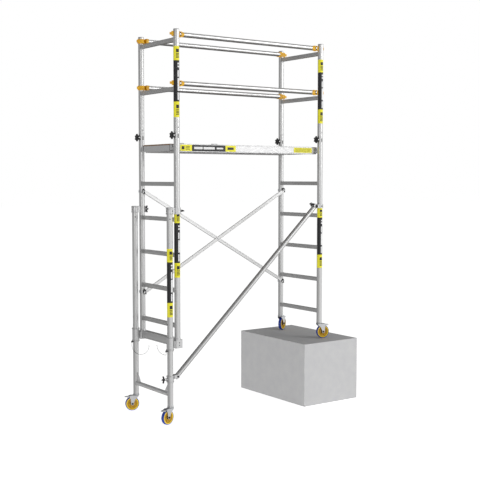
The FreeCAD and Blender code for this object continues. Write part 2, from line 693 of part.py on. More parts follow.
def high_clamp():
    """The clamp on the right front upright. A saddle over the tube's end carries the wing knob."""
    low = "high_pivot - high_clamp_half"
    reach = "diagonal_radius + lug_gap + lug_thickness"
    tall = ("high_pivot - lug_half", "high_pivot + lug_half")
    plates = lug_plates((f"{HIGH_PIVOT_X} - lug_half", "right_x - tube_radius"), tall)
    bridge = block(
        ("right_x - jaw_radius", "right_x - tube_radius"), (f"-side_y - ({reach})", f"-side_y + {reach}"), tall,
    )
    # The saddle is built along X about the pivot, then leans with the tube
    near = "diagonal_radius + lug_gap"
    arm_back = "-(saddle_back + boss_radius)"
    arms = [
        block(
            (arm_back, "0"), (f"{way}{near_side}", f"{way}{far_side}"),
            ("-lug_half", f"{near} + saddle_thickness"),
        )
        for way, near_side, far_side in (("", f"({near})", f"({reach})"), ("-", f"({reach})", f"({near})"))
    ]
    seat = block(
        (arm_back, "boss_radius - saddle_back"), (f"-({reach})", reach), (near, f"{near} + saddle_thickness"),
    )
    boss = rod("boss_radius", "high_boss", ("-saddle_back", 0, near))
    screw_hole = rod("screw_radius + screw_gap", "2 * boss_reach", ("-saddle_back", 0, near))
    saddle = cut(fuse(*arms, seat, boss), screw_hole)
    lean = Rotation(Vector(0, 1, 0), -diagonal_angle())
    leaning = place(group(saddle), (HIGH_PIVOT_X, "-side_y", "high_pivot"), lean)
    ring = rod("jaw_radius", "2 * high_clamp_half", ("right_x", "-side_y", low))
    solid = fuse(ring, bridge, *plates, leaning)
    return cut(
        solid,
        rod("jaw_bore", "4 * high_clamp_half", ("right_x", "-side_y", "high_pivot - 2 * high_clamp_half")),
        block(
            ("right_x - jaw_mouth", "right_x + jaw_mouth"), ("-side_y", "-side_y + 2 * jaw_radius"),
            ("high_pivot - 2 * high_clamp_half", "high_pivot + 2 * high_clamp_half"),
        ),
        rod(
            "bolt_radius", "4 * tube_radius", (HIGH_PIVOT_X, "-side_y - 2 * tube_radius", "high_pivot"), ALONG_Y,
        ),
    )


def diagonal():
    lean = Rotation(Vector(0, 1, 0), -diagonal_angle())
    span = f"sqrt(({HIGH_PIVOT_X} - {LOW_PIVOT_X})^2 + (high_pivot - low_pivot)^2)"
    length = f"{span} + diagonal_tail + diagonal_nose"
    tube = cut(
        rod("diagonal_radius", length, ("-diagonal_tail", 0, 0), ALONG_X),
        rod("diagonal_radius - tube_wall", length, ("-diagonal_tail", 0, 0), ALONG_X),
        rod("bolt_radius", "4 * tube_radius", ("0", "-2 * tube_radius", 0), ALONG_Y),
        rod("bolt_radius", "4 * tube_radius", (span, "-2 * tube_radius", 0), ALONG_Y),
    )
    sub_part("diagonal_tube", place(tube, (LOW_PIVOT_X, "-side_y", "low_pivot"), lean))
    bolts = [pivot_bolt(LOW_PIVOT_X, "low_pivot"), pivot_bolt(HIGH_PIVOT_X, "high_pivot")]
    sub_part("diagonal_clamps", low_clamp(), high_clamp(), *bolts)


def knobs():
    for side in ("left", "right"):
        for row, way in UPRIGHT_SIDES.items():
            star_knob(f"{side}_{row}_star_knob", f"{side}_x", f"{way} * side_y")
    middle = "(bracket_low + bracket_top) / 2"
    spins = {"front": Rotation(Vector(0, 0, 1), 90), "back": Rotation()}
    for row, way in UPRIGHT_SIDES.items():
        at = ("left_x", f"{way} * side_y", middle)
        wing_knob(f"{row}_leg_wing_knob", "leg_boss + knob_gap", at, ALONG_X * spins[row])
    leftward = Rotation(Vector(0, 1, 0), -90)
    at = ("left_x - leg_offset", "-side_y", "low_clamp")
    wing_knob("low_clamp_wing_knob", "low_boss + knob_gap", at, leftward)
    angle = diagonal_angle()
    back, lean = size("saddle_back"), Rotation(Vector(0, 1, 0), -angle)
    foot = lean.multVec(Vector(-back, 0, 0))
    at = (f"{HIGH_PIVOT_X} + ({foot.x})", "-side_y", f"high_pivot + ({foot.z})")
    start = "diagonal_radius + lug_gap + high_boss + knob_gap"
    wing_knob("high_clamp_wing_knob", start, at, lean, "short_screw")


# ---- Lock pins -----------------------------------------------------------------------------------

def lock_pin(row, way):
    """A pin through the leg, just under its sleeve. A sprung wire loop hangs from its head."""
    leg, y = "left_x - leg_offset", f"{way} * side_y"
    head_x = f"{leg} - lock_reach"
    pin = rod("lock_radius", "lock_reach + lock_tip", (head_x, y, "lock_height"), ALONG_X)
    head = rod("lock_head", "lock_cap", (f"{head_x} - lock_cap / 2", y, "lock_height"), ALONG_X)
    # The loop is drawn about the pin's head: X points inwards and Y upwards
    if way < 0:
        centre, sweep, end = ("0", "wire_bend - wire_drop"), 90, ("-wire_bend", "wire_bend - wire_drop")
    else:
        centre, sweep, end = ("wire_bend", "-wire_drop"), 180, ("2 * wire_bend", "-wire_drop")
    loop = shape(
        "Part::Torus", {"Radius1": "wire_bend", "Radius2": "wire_radius", "Angle3": sweep},
        (*centre, 0), Rotation(Vector(0, 0, 1), 180),
    )
    drop = rod("wire_radius", "wire_drop", (0, "-wire_drop", 0), ALONG_Y)
    ball = shape("Part::Sphere", {"Radius": "wire_ball"}, (*end, 0))
    facing = Rotation(Vector(0, 0, 1), size("wire_turn")) * Rotation(Vector(1, 0, 0), 90)
    wire = place(fuse(loop, drop, ball), (head_x, y, "lock_height"), facing)
    sub_part(f"{row}_lock_pin", fuse(pin, head, group(wire)))


# ---- Casters -------------------------------------------------------------------------------------

def caster_fork():
    """Crown and two cheeks, pressed from one sheet, with the axle bolt through them."""
    top = "crown_high"
    crown = fuse(
        rod("crown_radius", "crown_high - crown_low", (0, 0, "crown_low")),
        block(("0", "fork_front - 12"), ("-fork_inner - fork_thickness", "fork_inner + fork_thickness"),
              ("crown_low", top)),
    )
    cheeks = []
    for low in ("fork_inner", "-fork_inner - fork_thickness"):
        cheek = doc.addObject("Part::Wedge", "Cheek")
        for name, text in {
            "Xmin": "caster_trail - fork_foot", "Xmax": "caster_trail + fork_foot",
            "X2min": "-fork_back", "X2max": "fork_front", "Ymin": "wheel_radius", "Ymax": "crown_low",
            "Zmin": "0", "Zmax": "fork_thickness", "Z2min": "0", "Z2max": "fork_thickness",
        }.items():
            cheek.setExpression(name, formula(text))
        upright = Rotation(Vector(1, 0, 0), 90)
        cheeks.append(place(group(cheek), (0, f"{low} + fork_thickness", 0), upright))
        cheeks.append(rod("fork_foot", "fork_thickness", ("caster_trail", low, "wheel_radius"), ALONG_Y))
    reach = "fork_inner + fork_thickness"
    fork = cut(
        fuse(crown, *cheeks),
        rod("axle_radius", f"2 * ({reach})", ("caster_trail", f"-({reach})", "wheel_radius"), ALONG_Y),
        rod("pedal_pin + pin_gap", f"2 * ({reach})", ("pedal_x", f"-({reach})", "pedal_z"), ALONG_Y),
    )
    axle = fuse(
        rod("axle_radius", f"2 * ({reach})", ("caster_trail", f"-({reach})", "wheel_radius"), ALONG_Y),
        rod("bolt_head", "bolt_cap", ("caster_trail", f"-({reach}) - bolt_cap", "wheel_radius"), ALONG_Y),
        rod("bolt_head", "bolt_cap", ("caster_trail", reach, "wheel_radius"), ALONG_Y),
    )
    return group(fork, axle)


def caster_rim():
    centre = ("caster_trail", "-rim_half", "wheel_radius")
    dishes = [
        pipe("dish_outer", "dish_inner", "dish_depth", ("caster_trail", y, "wheel_radius"), ALONG_Y)
        for y in ("-rim_half", "rim_half - dish_depth")
    ]
    solid = fuse(
        rod("rim_radius", "2 * rim_half", centre, ALONG_Y),
        rod("hub_radius", "2 * hub_half", ("caster_trail", "-hub_half", "wheel_radius"), ALONG_Y),
    )
    bore = rod("axle_radius + axle_gap", "2 * hub_half", ("caster_trail", "-hub_half", "wheel_radius"), ALONG_Y)
    return cut(solid, bore, *dishes)


def caster_tyre():
    at = ("caster_trail", "-wheel_half", "wheel_radius")
    return pipe("wheel_radius", "rim_radius", "2 * wheel_half", at, ALONG_Y)


def caster_pedal():
    """The brake pedal, with the pad that comes down on the tyre."""
    wide = ("-pedal_half", "pedal_half")
    reach = "fork_inner + fork_thickness"
    return fuse(
        rod("pedal_thickness + 1", "2 * pedal_half", ("pedal_x", "-pedal_half", "pedal_z"), ALONG_Y),
        rod("pedal_pin", f"2 * ({reach})", ("pedal_x", f"-({reach})", "pedal_z"), ALONG_Y),
        block(("pedal_x", "pedal_tip"), wide, ("pedal_z", "pedal_z + pedal_thickness")),
        block(("pad_start", "pad_end"), wide, ("pedal_z - pad_drop", "pedal_z + pedal_thickness")),
    )


def caster_stem():
    """The bearing cup and stem, which stay fixed in the foot of a tube."""
    return fuse(
        rod("cup_radius", "cup_high - cup_low", (0, 0, "cup_low")),
        rod("spigot_radius", "stem_reach", (0, 0, "cup_high")),
    )


def casters():
    leg = "left_x - leg_offset"
    places = {
        "left_front": (leg, "-side_y", 0, "front_leg_turn"),
        "left_back": (leg, "side_y", 0, "back_leg_turn"),
        "right_front": ("right_x", "-side_y", "landing", "front_right_turn"),
        "right_back": ("right_x", "side_y", "landing", "back_right_turn"),
    }
    makers = {"fork": caster_fork, "rim": caster_rim, "tyre": caster_tyre, "brake_pedal": caster_pedal}
    stems = {"left": [], "right": []}
    for name, (x, y, floor, angle) in places.items():
        turn = Rotation(Vector(0, 0, 1), size(angle))
        for piece, maker in makers.items():
            sub_part(f"{name}_{piece}", place(group(maker()), (x, y, floor), turn))
        stems[name.split("_")[0]].append(place(caster_stem(), (x, y, floor)))
    for side, pair in stems.items():
        sub_part(f"{side}_caster_stems", *pair)


# ---- Build, check and write ----------------------------------------------------------------------

ladder_frames()
guard_frames()
guard_rails()
platform()
hatch_hinges()
cross_brace()
bottom_beam()
stair_legs()
diagonal()
knobs()
for row, way in UPRIGHT_SIDES.items():
    lock_pin(row, way)
casters()
doc.recompute()

broken = [made.Name for made in doc.Objects if {"Invalid", "Error"} & set(made.State)]
if broken:
    raise RuntimeError("These objects failed: " + ", ".join(broken))

os.makedirs("parts", exist_ok=True)
for made in sub_parts:
    if made.Shape.isNull() or not made.Shape.isValid() or not made.Shape.Solids:
        raise RuntimeError(made.Label + " has no valid solid")
for made in sub_parts:
    made.Shape.exportStep(f"parts/{made.Label}.step")
    print(f"{made.Label}: {len(made.Shape.Solids)} solids, {made.Shape.Volume / 1000:.1f} cm3")
print(len(sub_parts), "sub-parts")
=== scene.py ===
import json
import math

import bmesh
import bpy
from mathutils import Matrix, Vector


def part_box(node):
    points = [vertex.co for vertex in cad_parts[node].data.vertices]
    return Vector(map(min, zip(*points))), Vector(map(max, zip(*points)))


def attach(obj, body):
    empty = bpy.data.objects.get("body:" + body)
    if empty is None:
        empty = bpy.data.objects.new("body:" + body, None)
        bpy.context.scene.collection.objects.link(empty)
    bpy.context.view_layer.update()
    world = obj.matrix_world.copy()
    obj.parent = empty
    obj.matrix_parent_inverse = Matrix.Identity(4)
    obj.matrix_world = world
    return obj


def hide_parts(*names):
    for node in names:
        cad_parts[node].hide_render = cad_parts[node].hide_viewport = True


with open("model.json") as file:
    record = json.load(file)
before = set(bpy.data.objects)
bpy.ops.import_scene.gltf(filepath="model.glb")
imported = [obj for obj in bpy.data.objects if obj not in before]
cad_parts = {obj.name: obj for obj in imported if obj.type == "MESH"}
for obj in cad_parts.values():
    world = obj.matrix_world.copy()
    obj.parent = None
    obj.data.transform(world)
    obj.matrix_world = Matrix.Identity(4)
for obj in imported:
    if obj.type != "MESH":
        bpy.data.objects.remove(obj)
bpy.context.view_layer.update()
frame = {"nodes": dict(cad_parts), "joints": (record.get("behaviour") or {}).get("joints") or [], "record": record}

# Everything is in metres, in the row's frame: X along the tower, Y from front to back, Z up.
MM = 0.001
TUBE = 25 * MM
# Half the width of a rung, half the height of a brace clip, and the radius of a wheel
RUNG, CLIP, WHEEL = 17.5 * MM, 22.5 * MM, 62.5 * MM
LOWEST_RUNG, RUNG_PITCH, RUNGS = 0.831, 0.3, 6
# Heights of the diagonal's upper pivot bolt and of the plugs in the stair legs
HIGH_PIVOT, LEG_PLUG = 1.819, 1.738
# The angles in degrees from which an edge is shaded sharp, and from which a prism rounds it
SHARP, ROUNDED = 35, 25
# The stage stays this far under the tyres
STAGE_GAP = 0.0005
CORNERS = ("left_front", "left_back", "right_front", "right_back")
ORIGIN = (0, 0, 0)
X, Y, Z = Vector((1, 0, 0)), Vector((0, 1, 0)), Vector((0, 0, 1))

nodes = frame["nodes"]
joints = {joint["name"]: joint for joint in frame["joints"]}
bodies = frame["record"]["behaviour"]["bodies"]
body_of = {node: body for body, members in bodies.items() for node in members}
slot_of = {part["node"]: part["material_slot"] for part in frame["record"]["subparts"]}


def span(node, axis):
    low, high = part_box(node)
    return low[axis], high[axis]


def middle(node, axis):
    return sum(span(node, axis)) / 2


def outermost(node, half):
    """The middle heights of a node's lowest and highest pieces, from their half height."""
    low, high = span(node, 2)
    return low + half, high - half


LEFT, RIGHT = middle("left_frame_uprights", 0), middle("right_frame_uprights", 0)
FRONT = span("left_frame_uprights", 1)[0] + TUBE
BACK = span("left_frame_uprights", 1)[1] - TUBE
LEG = middle("stair_leg_tubes", 0)
ROWS = {"front": FRONT, "back": BACK}
ENDS = {"left": LEFT, "right": RIGHT}
BRACE_LOW, BRACE_HIGH = outermost("cross_brace_clips", CLIP)
BRACE_SLOPE = math.atan2(BRACE_HIGH - BRACE_LOW, RIGHT - LEFT)
DIAGONAL = Y.cross(Vector(joints["high_clamp_knob_turn"]["axis"]))
DIAGONAL_SLOPE = math.atan2(DIAGONAL.z, DIAGONAL.x)


# ---- Mesh helpers ----

def mm(points):
    """Points given in millimetres, in metres."""
    return [tuple(c * MM for c in point) for point in points]


def both_sides(middle, half):
    """The two ends of a width about a middle in metres, from half the width in millimetres."""
    return middle - half * MM, middle + half * MM


def axes(at, x=X, z=Z):
    """A placing matrix from a point and two directions: local X and local Z."""
    z = Vector(z).normalized()
    x = Vector(x)
    x = (x - z * x.dot(z)).normalized()
    y = z.cross(x)
    turn = Matrix((x, y, z)).transposed().to_4x4()
    return Matrix.Translation(Vector(at)) @ turn


def between(rings, steps, closed=False):
    """The faces between rings of vertex numbers. A ring with one vertex is a tip."""
    pairs = list(zip(rings, rings[1:]))
    if closed:
        pairs.append((rings[-1], rings[0]))
    faces = []
    for low, high in pairs:
        for k in range(steps):
            n = (k + 1) % steps
            face = low[k % len(low)], low[n % len(low)], high[n % len(high)], high[k % len(high)]
            face = list(dict.fromkeys(face))
            if len(face) > 2:
                faces.append(face)
    return faces


class Form:
    """Collects the parts of one piece's mesh."""

    def __init__(self):
        self.verts, self.faces, self.shades = [], [], []

    def add(self, verts, faces, place=None, shade=0):
        start = len(self.verts)
        self.verts += [place @ Vector(v) if place else Vector(v) for v in verts]
        self.faces += [[start + i for i in face] for face in faces]
        self.shades += [shade] * len(faces)

    def lathe(self, profile, place, steps=40, shade=0, closed=False):
        """Turns (radius, height) points about local Z. An open profile is capped at its ends."""
        verts, rings = [], []
        for radius, height in profile:
            if radius < 1e-7:
                rings.append([len(verts)])
                verts.append((0, 0, height))
                continue
            rings.append(list(range(len(verts), len(verts) + steps)))
            for k in range(steps):
                a = 2 * math.pi * k / steps
                verts.append((radius * math.cos(a), radius * math.sin(a), height))
        faces = between(rings, steps, closed)
        if not closed:
            faces += [ring for ring in (rings[0], rings[-1]) if len(ring) > 2]
        self.add(verts, faces, place, shade)

    def prism(self, outline, low, high, place=None, bevel=0.0, shade=0, steps=2):
        """A flat outline pushed from low to high along local Z, with rounded edges."""
        bm = bmesh.new()
        bottom = [bm.verts.new((x, y, low)) for x, y in outline]
        top = [bm.verts.new((x, y, high)) for x, y in outline]
        bm.faces.new(bottom[::-1])
        bm.faces.new(top)
        count = len(outline)
        for i in range(count):
            n = (i + 1) % count
            bm.faces.new((bottom[i], bottom[n], top[n], top[i]))
        if bevel:
            sharp = [e for e in bm.edges if e.calc_face_angle(0) > math.radians(ROUNDED)]
            bmesh.ops.bevel(
                bm, geom=sharp, offset=bevel, segments=steps, profile=0.5, affect="EDGES",
                clamp_overlap=True,
            )
        bm.verts.index_update()
        verts = [v.co.copy() for v in bm.verts]
        faces = [[v.index for v in f.verts] for f in bm.faces]
        bm.free()
        self.add(verts, faces, place, shade)

    def block(self, x, y, z, place=None, bevel=0.0, shade=0):
        outline = [(x[0], y[0]), (x[1], y[0]), (x[1], y[1]), (x[0], y[1])]
        self.prism(outline, z[0], z[1], place, bevel, shade)

    def sweep(self, path, radius, place=None, steps=8, shade=0, closed=False):
        """A round wire or bead along a path of points."""
        path = [Vector(p) for p in path]
        count = len(path)
        rings, verts = [], []
        side = None
        for i, point in enumerate(path):
            before = path[i - 1] if (closed or i) else path[0]
            after = path[(i + 1) % count] if (closed or i < count - 1) else path[-1]
            along = (after - before).normalized()
            if side is None:
                side = along.orthogonal().normalized()
            side = (side - along * side.dot(along)).normalized()
            other = along.cross(side)
            rings.append(list(range(len(verts), len(verts) + steps)))
            for k in range(steps):
                a = 2 * math.pi * k / steps
                verts.append(point + radius * (math.cos(a) * side + math.sin(a) * other))
        faces = between(rings, steps, closed)
        if not closed:
            faces += [rings[0][::-1], rings[-1]]
        self.add(verts, faces, place, shade)

    def leaning_ring(self, profile, place, steps):
        """A closed ring about local Z from (radius, height, lean), in mm. It leans along local X."""
        verts, faces = [], []
        count = len(profile)
        for k in range(steps):
            a = 2 * math.pi * k / steps
            for radius, height, lean in profile:
                x = radius * math.cos(a)
                verts.append((x * MM, radius * math.sin(a) * MM, (height + lean * x) * MM))
            n = (k + 1) % steps
            for i in range(count):
                j = (i + 1) % count
                faces.append((k * count + i, n * count + i, n * count + j, k * count + j))
        self.add(verts, faces, place)

    def as_object(self, name, materials):
        mesh = bpy.data.meshes.new(name)
        mesh.from_pydata(self.verts, [], self.faces)
        for mat in materials:
            mesh.materials.append(mat)
        mesh.polygons.foreach_set("material_index", self.shades)
        made = bpy.data.objects.new(name, mesh)
        bpy.context.scene.collection.objects.link(made)
        return made

    def make(self, name, body, materials):
        """Turns the form into an object that rides on a CAD body."""
        made = self.as_object(name, materials)
        mesh = made.data
        bm = bmesh.new()
        bm.from_mesh(mesh)
        bmesh.ops.recalc_face_normals(bm, faces=bm.faces)
        bm.to_mesh(mesh)
        bm.free()
        mesh.shade_smooth()
        mesh.set_sharp_from_angle(angle=math.radians(SHARP))
        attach(made, body)
        return made

    def stand_for(self, node, ending, *materials, name=None):
        """Makes the piece that replaces a CAD node, on the node's body, and hides the node."""
        made = self.make(name or f"{node}_{ending}", body_of[node], materials)
        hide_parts(node)


def arc(radius, start, end, steps, centre=(0, 0)):
    """Points along an arc, between angles in degrees."""
    points = []
    for k in range(steps + 1):
        a = math.radians(start + (end - start) * k / steps)
        points.append((centre[0] + radius * math.cos(a), centre[1] + radius * math.sin(a)))
    return points


def rounded(half_x, half_y, corner, steps=4):
    """A rectangle about the origin with round corners."""
    points = []
    for sx, sy, start in ((1, 1, 0), (-1, 1, 90), (-1, -1, 180), (1, -1, 270)):
        centre = (sx * (half_x - corner), sy * (half_y - corner))
        points += arc(corner, start, start + 90, steps, centre)
    return points


def both_ways(half):
    """Half a profile or outline, followed by its mirror image across the first direction."""
    return half + [(u, -v) for u, v in reversed(half)]


def open_ring(inner, outer, mouth):
    """A ring about the origin with a gap that opens along +Y."""
    wide = math.degrees(math.asin(mouth / outer))
    narrow = math.degrees(math.asin(mouth / inner))
    return arc(outer, 90 + wide, 450 - wide, 30) + arc(inner, 450 - narrow, 90 + narrow, 30)


def hexagon(radius):
    return arc(radius, 0, 300, 5)


def bolt_head(form, at, out, radius, height):
    """A hexagon head on a washer. out points away from what it clamps."""
    place = axes(at, Vector(out).orthogonal(), out)
    washer = [(radius * 1.12, 0), (radius * 1.12, height * 0.2), (radius * 0.6, height * 0.24)]
    form.lathe(washer, place, 28, shade=1)
    form.prism(hexagon(radius), height * 0.2, height, place, radius * 0.07, shade=1)


def dome(form, at, out, radius, height, shade=0):
    """A round rivet head."""
    place = axes(at, Vector(out).orthogonal(), out)
    profile = [(radius * u, height * v) for u, v in arc(1, 0, 75, 5)]
    form.lathe([(radius, -0.2 * height), *profile, (0, height)], place, 24, shade)


def screw(root, start, pitch, turns, rise=0.4):
    """A thread's profile in mm. Each crest stands 0.6 out, and lies beyond its root by rise."""
    points = []
    for k in range(turns):
        points += [(root, start + pitch * k), (root + 0.6, start + rise + pitch * k)]
    return points


def weld_ring(form, at, across, up, bar, tube):
    """A bead where a round bar meets the side of a round tube of the given radii."""
    bead = []
    for k in range(28):
        a = 2 * math.pi * k / 28
        u, v = bar * math.cos(a), bar * math.sin(a)
        bead.append((u, v, math.sqrt(max(tube ** 2 - v ** 2, 0))))
    form.sweep(bead, 1.8 * MM, axes(at, up, across), shade=1, closed=True)


# Turns an outline upright, so that its second direction is the placing's Z
UPRIGHT = axes(ORIGIN, X, -Y)
# An open clamp jaw round a tube
TUBE_JAW = open_ring(25.6 * MM, 33 * MM, 21 * MM)


# ---- Materials ----

def grey(level, blue=None):
    return level, level, blue or level


def add_node(tree, kind, settings=(), **inputs):
    """A new node with its settings. Each input takes a value, or a socket that is linked to it."""
    made = tree.nodes.new("ShaderNode" + kind)
    for name, value in settings:
        setattr(made, name, value)
    for name, value in inputs.items():
        socket = made.inputs[name.replace("_", " ")]
        if isinstance(value, bpy.types.NodeSocket):
            tree.links.new(value, socket)
        else:
            socket.default_value = value
    return made


def surface(name, colours, metallic, rough, stretch=(1, 1, 1), scale=40.0, bump=0.05, depth=0.2 * MM,
            smudge=0.06, coat=0.0, fine=900.0, slope=0.0):
    """Two tones mixed by a stretched grain, with a finer bump and slow smudges in the gloss.

    slope turns the grain about Y, so that its X runs along a sloping bar."""
    mat = bpy.data.materials.new(name)
    mat.use_nodes = True
    tree = mat.node_tree
    shader = tree.nodes["Principled BSDF"]
    shader.inputs["Metallic"].default_value = metallic
    if coat:
        shader.inputs["Coat Weight"].default_value = coat
        shader.inputs["Coat Roughness"].default_value = 0.15
    where = add_node(tree, "TexCoord").outputs["Object"]
    turned = add_node(tree, "Mapping", Vector=where, Rotation=(0, slope, 0)).outputs["Vector"]
    stretched = add_node(tree, "Mapping", Vector=turned, Scale=stretch).outputs["Vector"]
    grain = add_node(tree, "TexNoise", Vector=stretched, Scale=scale, Detail=5).outputs["Fac"]
    micro = add_node(tree, "TexNoise", Vector=stretched, Scale=fine, Detail=2).outputs["Fac"]
    slow = add_node(tree, "TexNoise", Vector=where, Scale=9.0, Detail=4).outputs["Fac"]

    ramp = add_node(tree, "ValToRGB", Fac=grain)
    for element, position, colour in zip(ramp.color_ramp.elements, (0.3, 0.7), colours):
        element.position = position
        element.color = (*colour, 1)
    blend = add_node(tree, "Mix", Factor=0.5, A=grain, B=slow)
    gloss = add_node(tree, "MapRange", Value=blend.outputs["Result"], From_Min=0.3, From_Max=0.7,
                     To_Min=rough - smudge, To_Max=rough + smudge)
    raised = add_node(tree, "Bump", Height=micro, Strength=bump, Distance=depth)
    tree.links.new(ramp.outputs["Color"], shader.inputs["Base Color"])
    tree.links.new(gloss.outputs["Result"], shader.inputs["Roughness"])
    tree.links.new(raised.outputs["Normal"], shader.inputs["Normal"])
    return mat


def drawn(name, along, tone=0.78, rough=0.38, slope=0.0):
    """Drawn metal, whose fine lines run along one axis."""
    stretch = tuple(0.006 if letter == along else 1.0 for letter in "xyz")
    colours = (grey(tone - 0.05, tone - 0.055), grey(tone + 0.04))
    return surface(name, colours, 1.0, rough, stretch, 90.0, 0.01, 0.02 * MM, smudge=0.01, slope=slope)


tube_z = drawn("aluminium_along_z", "z")
tube_x = drawn("aluminium_along_x", "x")
tube_y = drawn("aluminium_along_y", "y", 0.72, 0.4)
tube_sloping = drawn("aluminium_along_diagonal", "x", slope=DIAGONAL_SLOPE)
brace_falling = drawn("galvanised_bar_falling", "x", 0.88, 0.42, -BRACE_SLOPE)
brace_rising = drawn("galvanised_bar_rising", "x", 0.88, 0.42, BRACE_SLOPE)
beam_metal = surface("beam_extrusion", (grey(0.54, 0.545), grey(0.74)), 1.0, 0.38,
                     stretch=(0.35, 1, 1), scale=70.0, bump=0.12, depth=0.1 * MM, smudge=0.08)
casting = surface("cast_aluminium", (grey(0.68, 0.685), grey(0.84)), 1.0, 0.36, scale=160.0,
                  bump=0.22, depth=0.2 * MM, fine=500.0)
weld = surface("weld_bead", (grey(0.42, 0.43), grey(0.62, 0.63)), 1.0, 0.45, scale=300.0, bump=0.6,
               depth=0.5 * MM, fine=350.0)
bar_metal = surface("foot_bar_aluminium", (grey(0.62, 0.625), grey(0.74)), 0.45, 0.45,
                    stretch=(1, 0.02, 1), scale=90.0, bump=0.1)
zinc = surface("zinc_plate", ((0.62, 0.63, 0.65), (0.76, 0.77, 0.78)), 1.0, 0.3, scale=90.0, bump=0.12)
spring_wire = surface("spring_wire", (grey(0.11, 0.115), grey(0.19)), 1.0, 0.4, scale=150.0)
# Dark steel for bolts, axles and hubs; on the frame's spigots it is painted shade inside the post slots
dark_steel_and_slot_shade = surface("dark_steel_and_slot_shade", (grey(0.03, 0.033), grey(0.07)), 0.5, 0.45, scale=120.0)
black = surface("black_plastic", (grey(0.012, 0.013), grey(0.03, 0.032)), 0.0, 0.42, scale=200.0,
                bump=0.3, fine=1400.0)
amber = surface("amber_plastic", ((0.66, 0.29, 0.003), (0.97, 0.58, 0.01)), 0.0, 0.42, scale=55.0,
                bump=0.25, fine=1100.0, coat=0.1)
rim_yellow = surface("rim_yellow", ((0.90, 0.60, 0.02), (1.0, 0.74, 0.04)), 0.0, 0.4, scale=60.0,
                     bump=0.2, coat=0.15)
# A darker amber on the same yellow plastic: painted shade for the wheel's recessed dish, spokes and beads
rim_dish_painted_shade = surface("rim_dish_painted_shade", ((0.52, 0.28, 0.006), (0.68, 0.40, 0.01)), 0.0, 0.5, scale=60.0,
                   bump=0.2)
blue = surface("blue_tyre", ((0.012, 0.045, 0.34), (0.025, 0.085, 0.55)), 0.0, 0.5, scale=80.0,
               bump=0.3)
decal_yellow = surface("label_yellow", ((0.86, 0.79, 0.015), (0.93, 0.87, 0.03)), 0.0, 0.35, scale=30.0)
decal_black = surface("label_black", (grey(0.008, 0.01), grey(0.02, 0.022)), 0.0, 0.33, scale=30.0)
decal_white = surface("label_white", (grey(0.78), grey(0.9)), 0.0, 0.35, scale=30.0)
ply = surface("film_faced_board", ((0.07, 0.04, 0.022), (0.12, 0.07, 0.035)), 0.0, 0.45,
              stretch=(0.1, 1, 1), scale=120.0, bump=0.4, depth=0.4 * MM, fine=260.0)
ply_edge = surface("board_edge", ((0.10, 0.055, 0.03), (0.34, 0.2, 0.11)), 0.0, 0.6,
                   stretch=(0.02, 0.02, 1), scale=420.0, bump=0.5)

BY_SLOT = {
    "aluminium_tube": tube_z, "ribbed_aluminium": tube_y, "beam_aluminium": beam_metal,
    "cast_aluminium": casting, "brace_steel": brace_rising, "plywood": ply, "black_plastic": black,
    "zinc_steel": zinc, "yellow_rim": rim_yellow, "blue_tyre": blue, "amber_plastic": amber,
}
BY_NODE = {
    "hatch_hinge_plates": weld, "hatch_hinge_straps": weld, "front_lock_pin": spring_wire,
    "back_lock_pin": spring_wire, "guard_crossbars": tube_y, "bottom_beam": tube_y,
    # The spigots take the dark steel so that the slots in the guard posts read dark: painted shade of the slots'
    # inside
    "diagonal_tube": tube_sloping, "frame_spigots": dark_steel_and_slot_shade, "front_top_rail": tube_x,
    "front_mid_rail": tube_x, "back_top_rail": tube_x, "back_mid_rail": tube_x,
}


def dress_nodes():
    """Gives each CAD node its material."""
    for name, node in nodes.items():
        mat = BY_NODE.get(name) or BY_SLOT[slot_of[name]]
        if not node.material_slots:
            node.data.materials.append(mat)
        for slot in node.material_slots:
            slot.material = mat


# ---- Rungs and crossbars ----

def ribbed_outline(half, corner=3 * MM, grooves=5, depth=0.9 * MM):
    """A square with round corners and shallow grooves along each face."""
    flat = 2 * (half - corner)
    pitch = flat / grooves
    face = []
    for k in range(grooves):
        start = -flat / 2 + k * pitch
        for part, drop in ((0.12, 0), (0.3, depth), (0.7, depth), (0.88, 0)):
            face.append((start + part * pitch, half - drop))
    points = []
    for quarter in range(4):
        a = math.radians(-90 * quarter)
        for u, v in face:
            points.append((u * math.cos(a) - v * math.sin(a), u * math.sin(a) + v * math.cos(a)))
        for k in range(1, 4):
            b = math.radians(90 - 22.5 * k - 90 * quarter)
            centre = half - corner
            x = centre * (math.cos(a) - math.sin(a)) + corner * math.cos(b)
            points.append((x, centre * (math.sin(a) + math.cos(a)) + corner * math.sin(b)))
    return points


def rungs(node, heights):
    """Ribbed square bars between uprights, with a weld bead where each meets the round tube."""
    form = Form()
    outline = ribbed_outline(RUNG)
    for x in ENDS.values():
        for z in heights:
            place = axes((x, 0, z), X, -Y)
            form.prism(outline, FRONT + 12 * MM, BACK - 12 * MM, place)
            for way in (-1, 1):
                bead = []
                for u, v in rounded(RUNG + 0.8 * MM, RUNG + 0.8 * MM, 3.5 * MM, 3):
                    reach = BACK - math.sqrt(TUBE ** 2 - u ** 2) - 0.6 * MM
                    bead.append((x + u, way * reach, z + v))
                form.sweep(bead, 1.9 * MM, shade=1, closed=True)
    form.stand_for(node, "ribbed", tube_y, weld)


# ---- Knobs ----

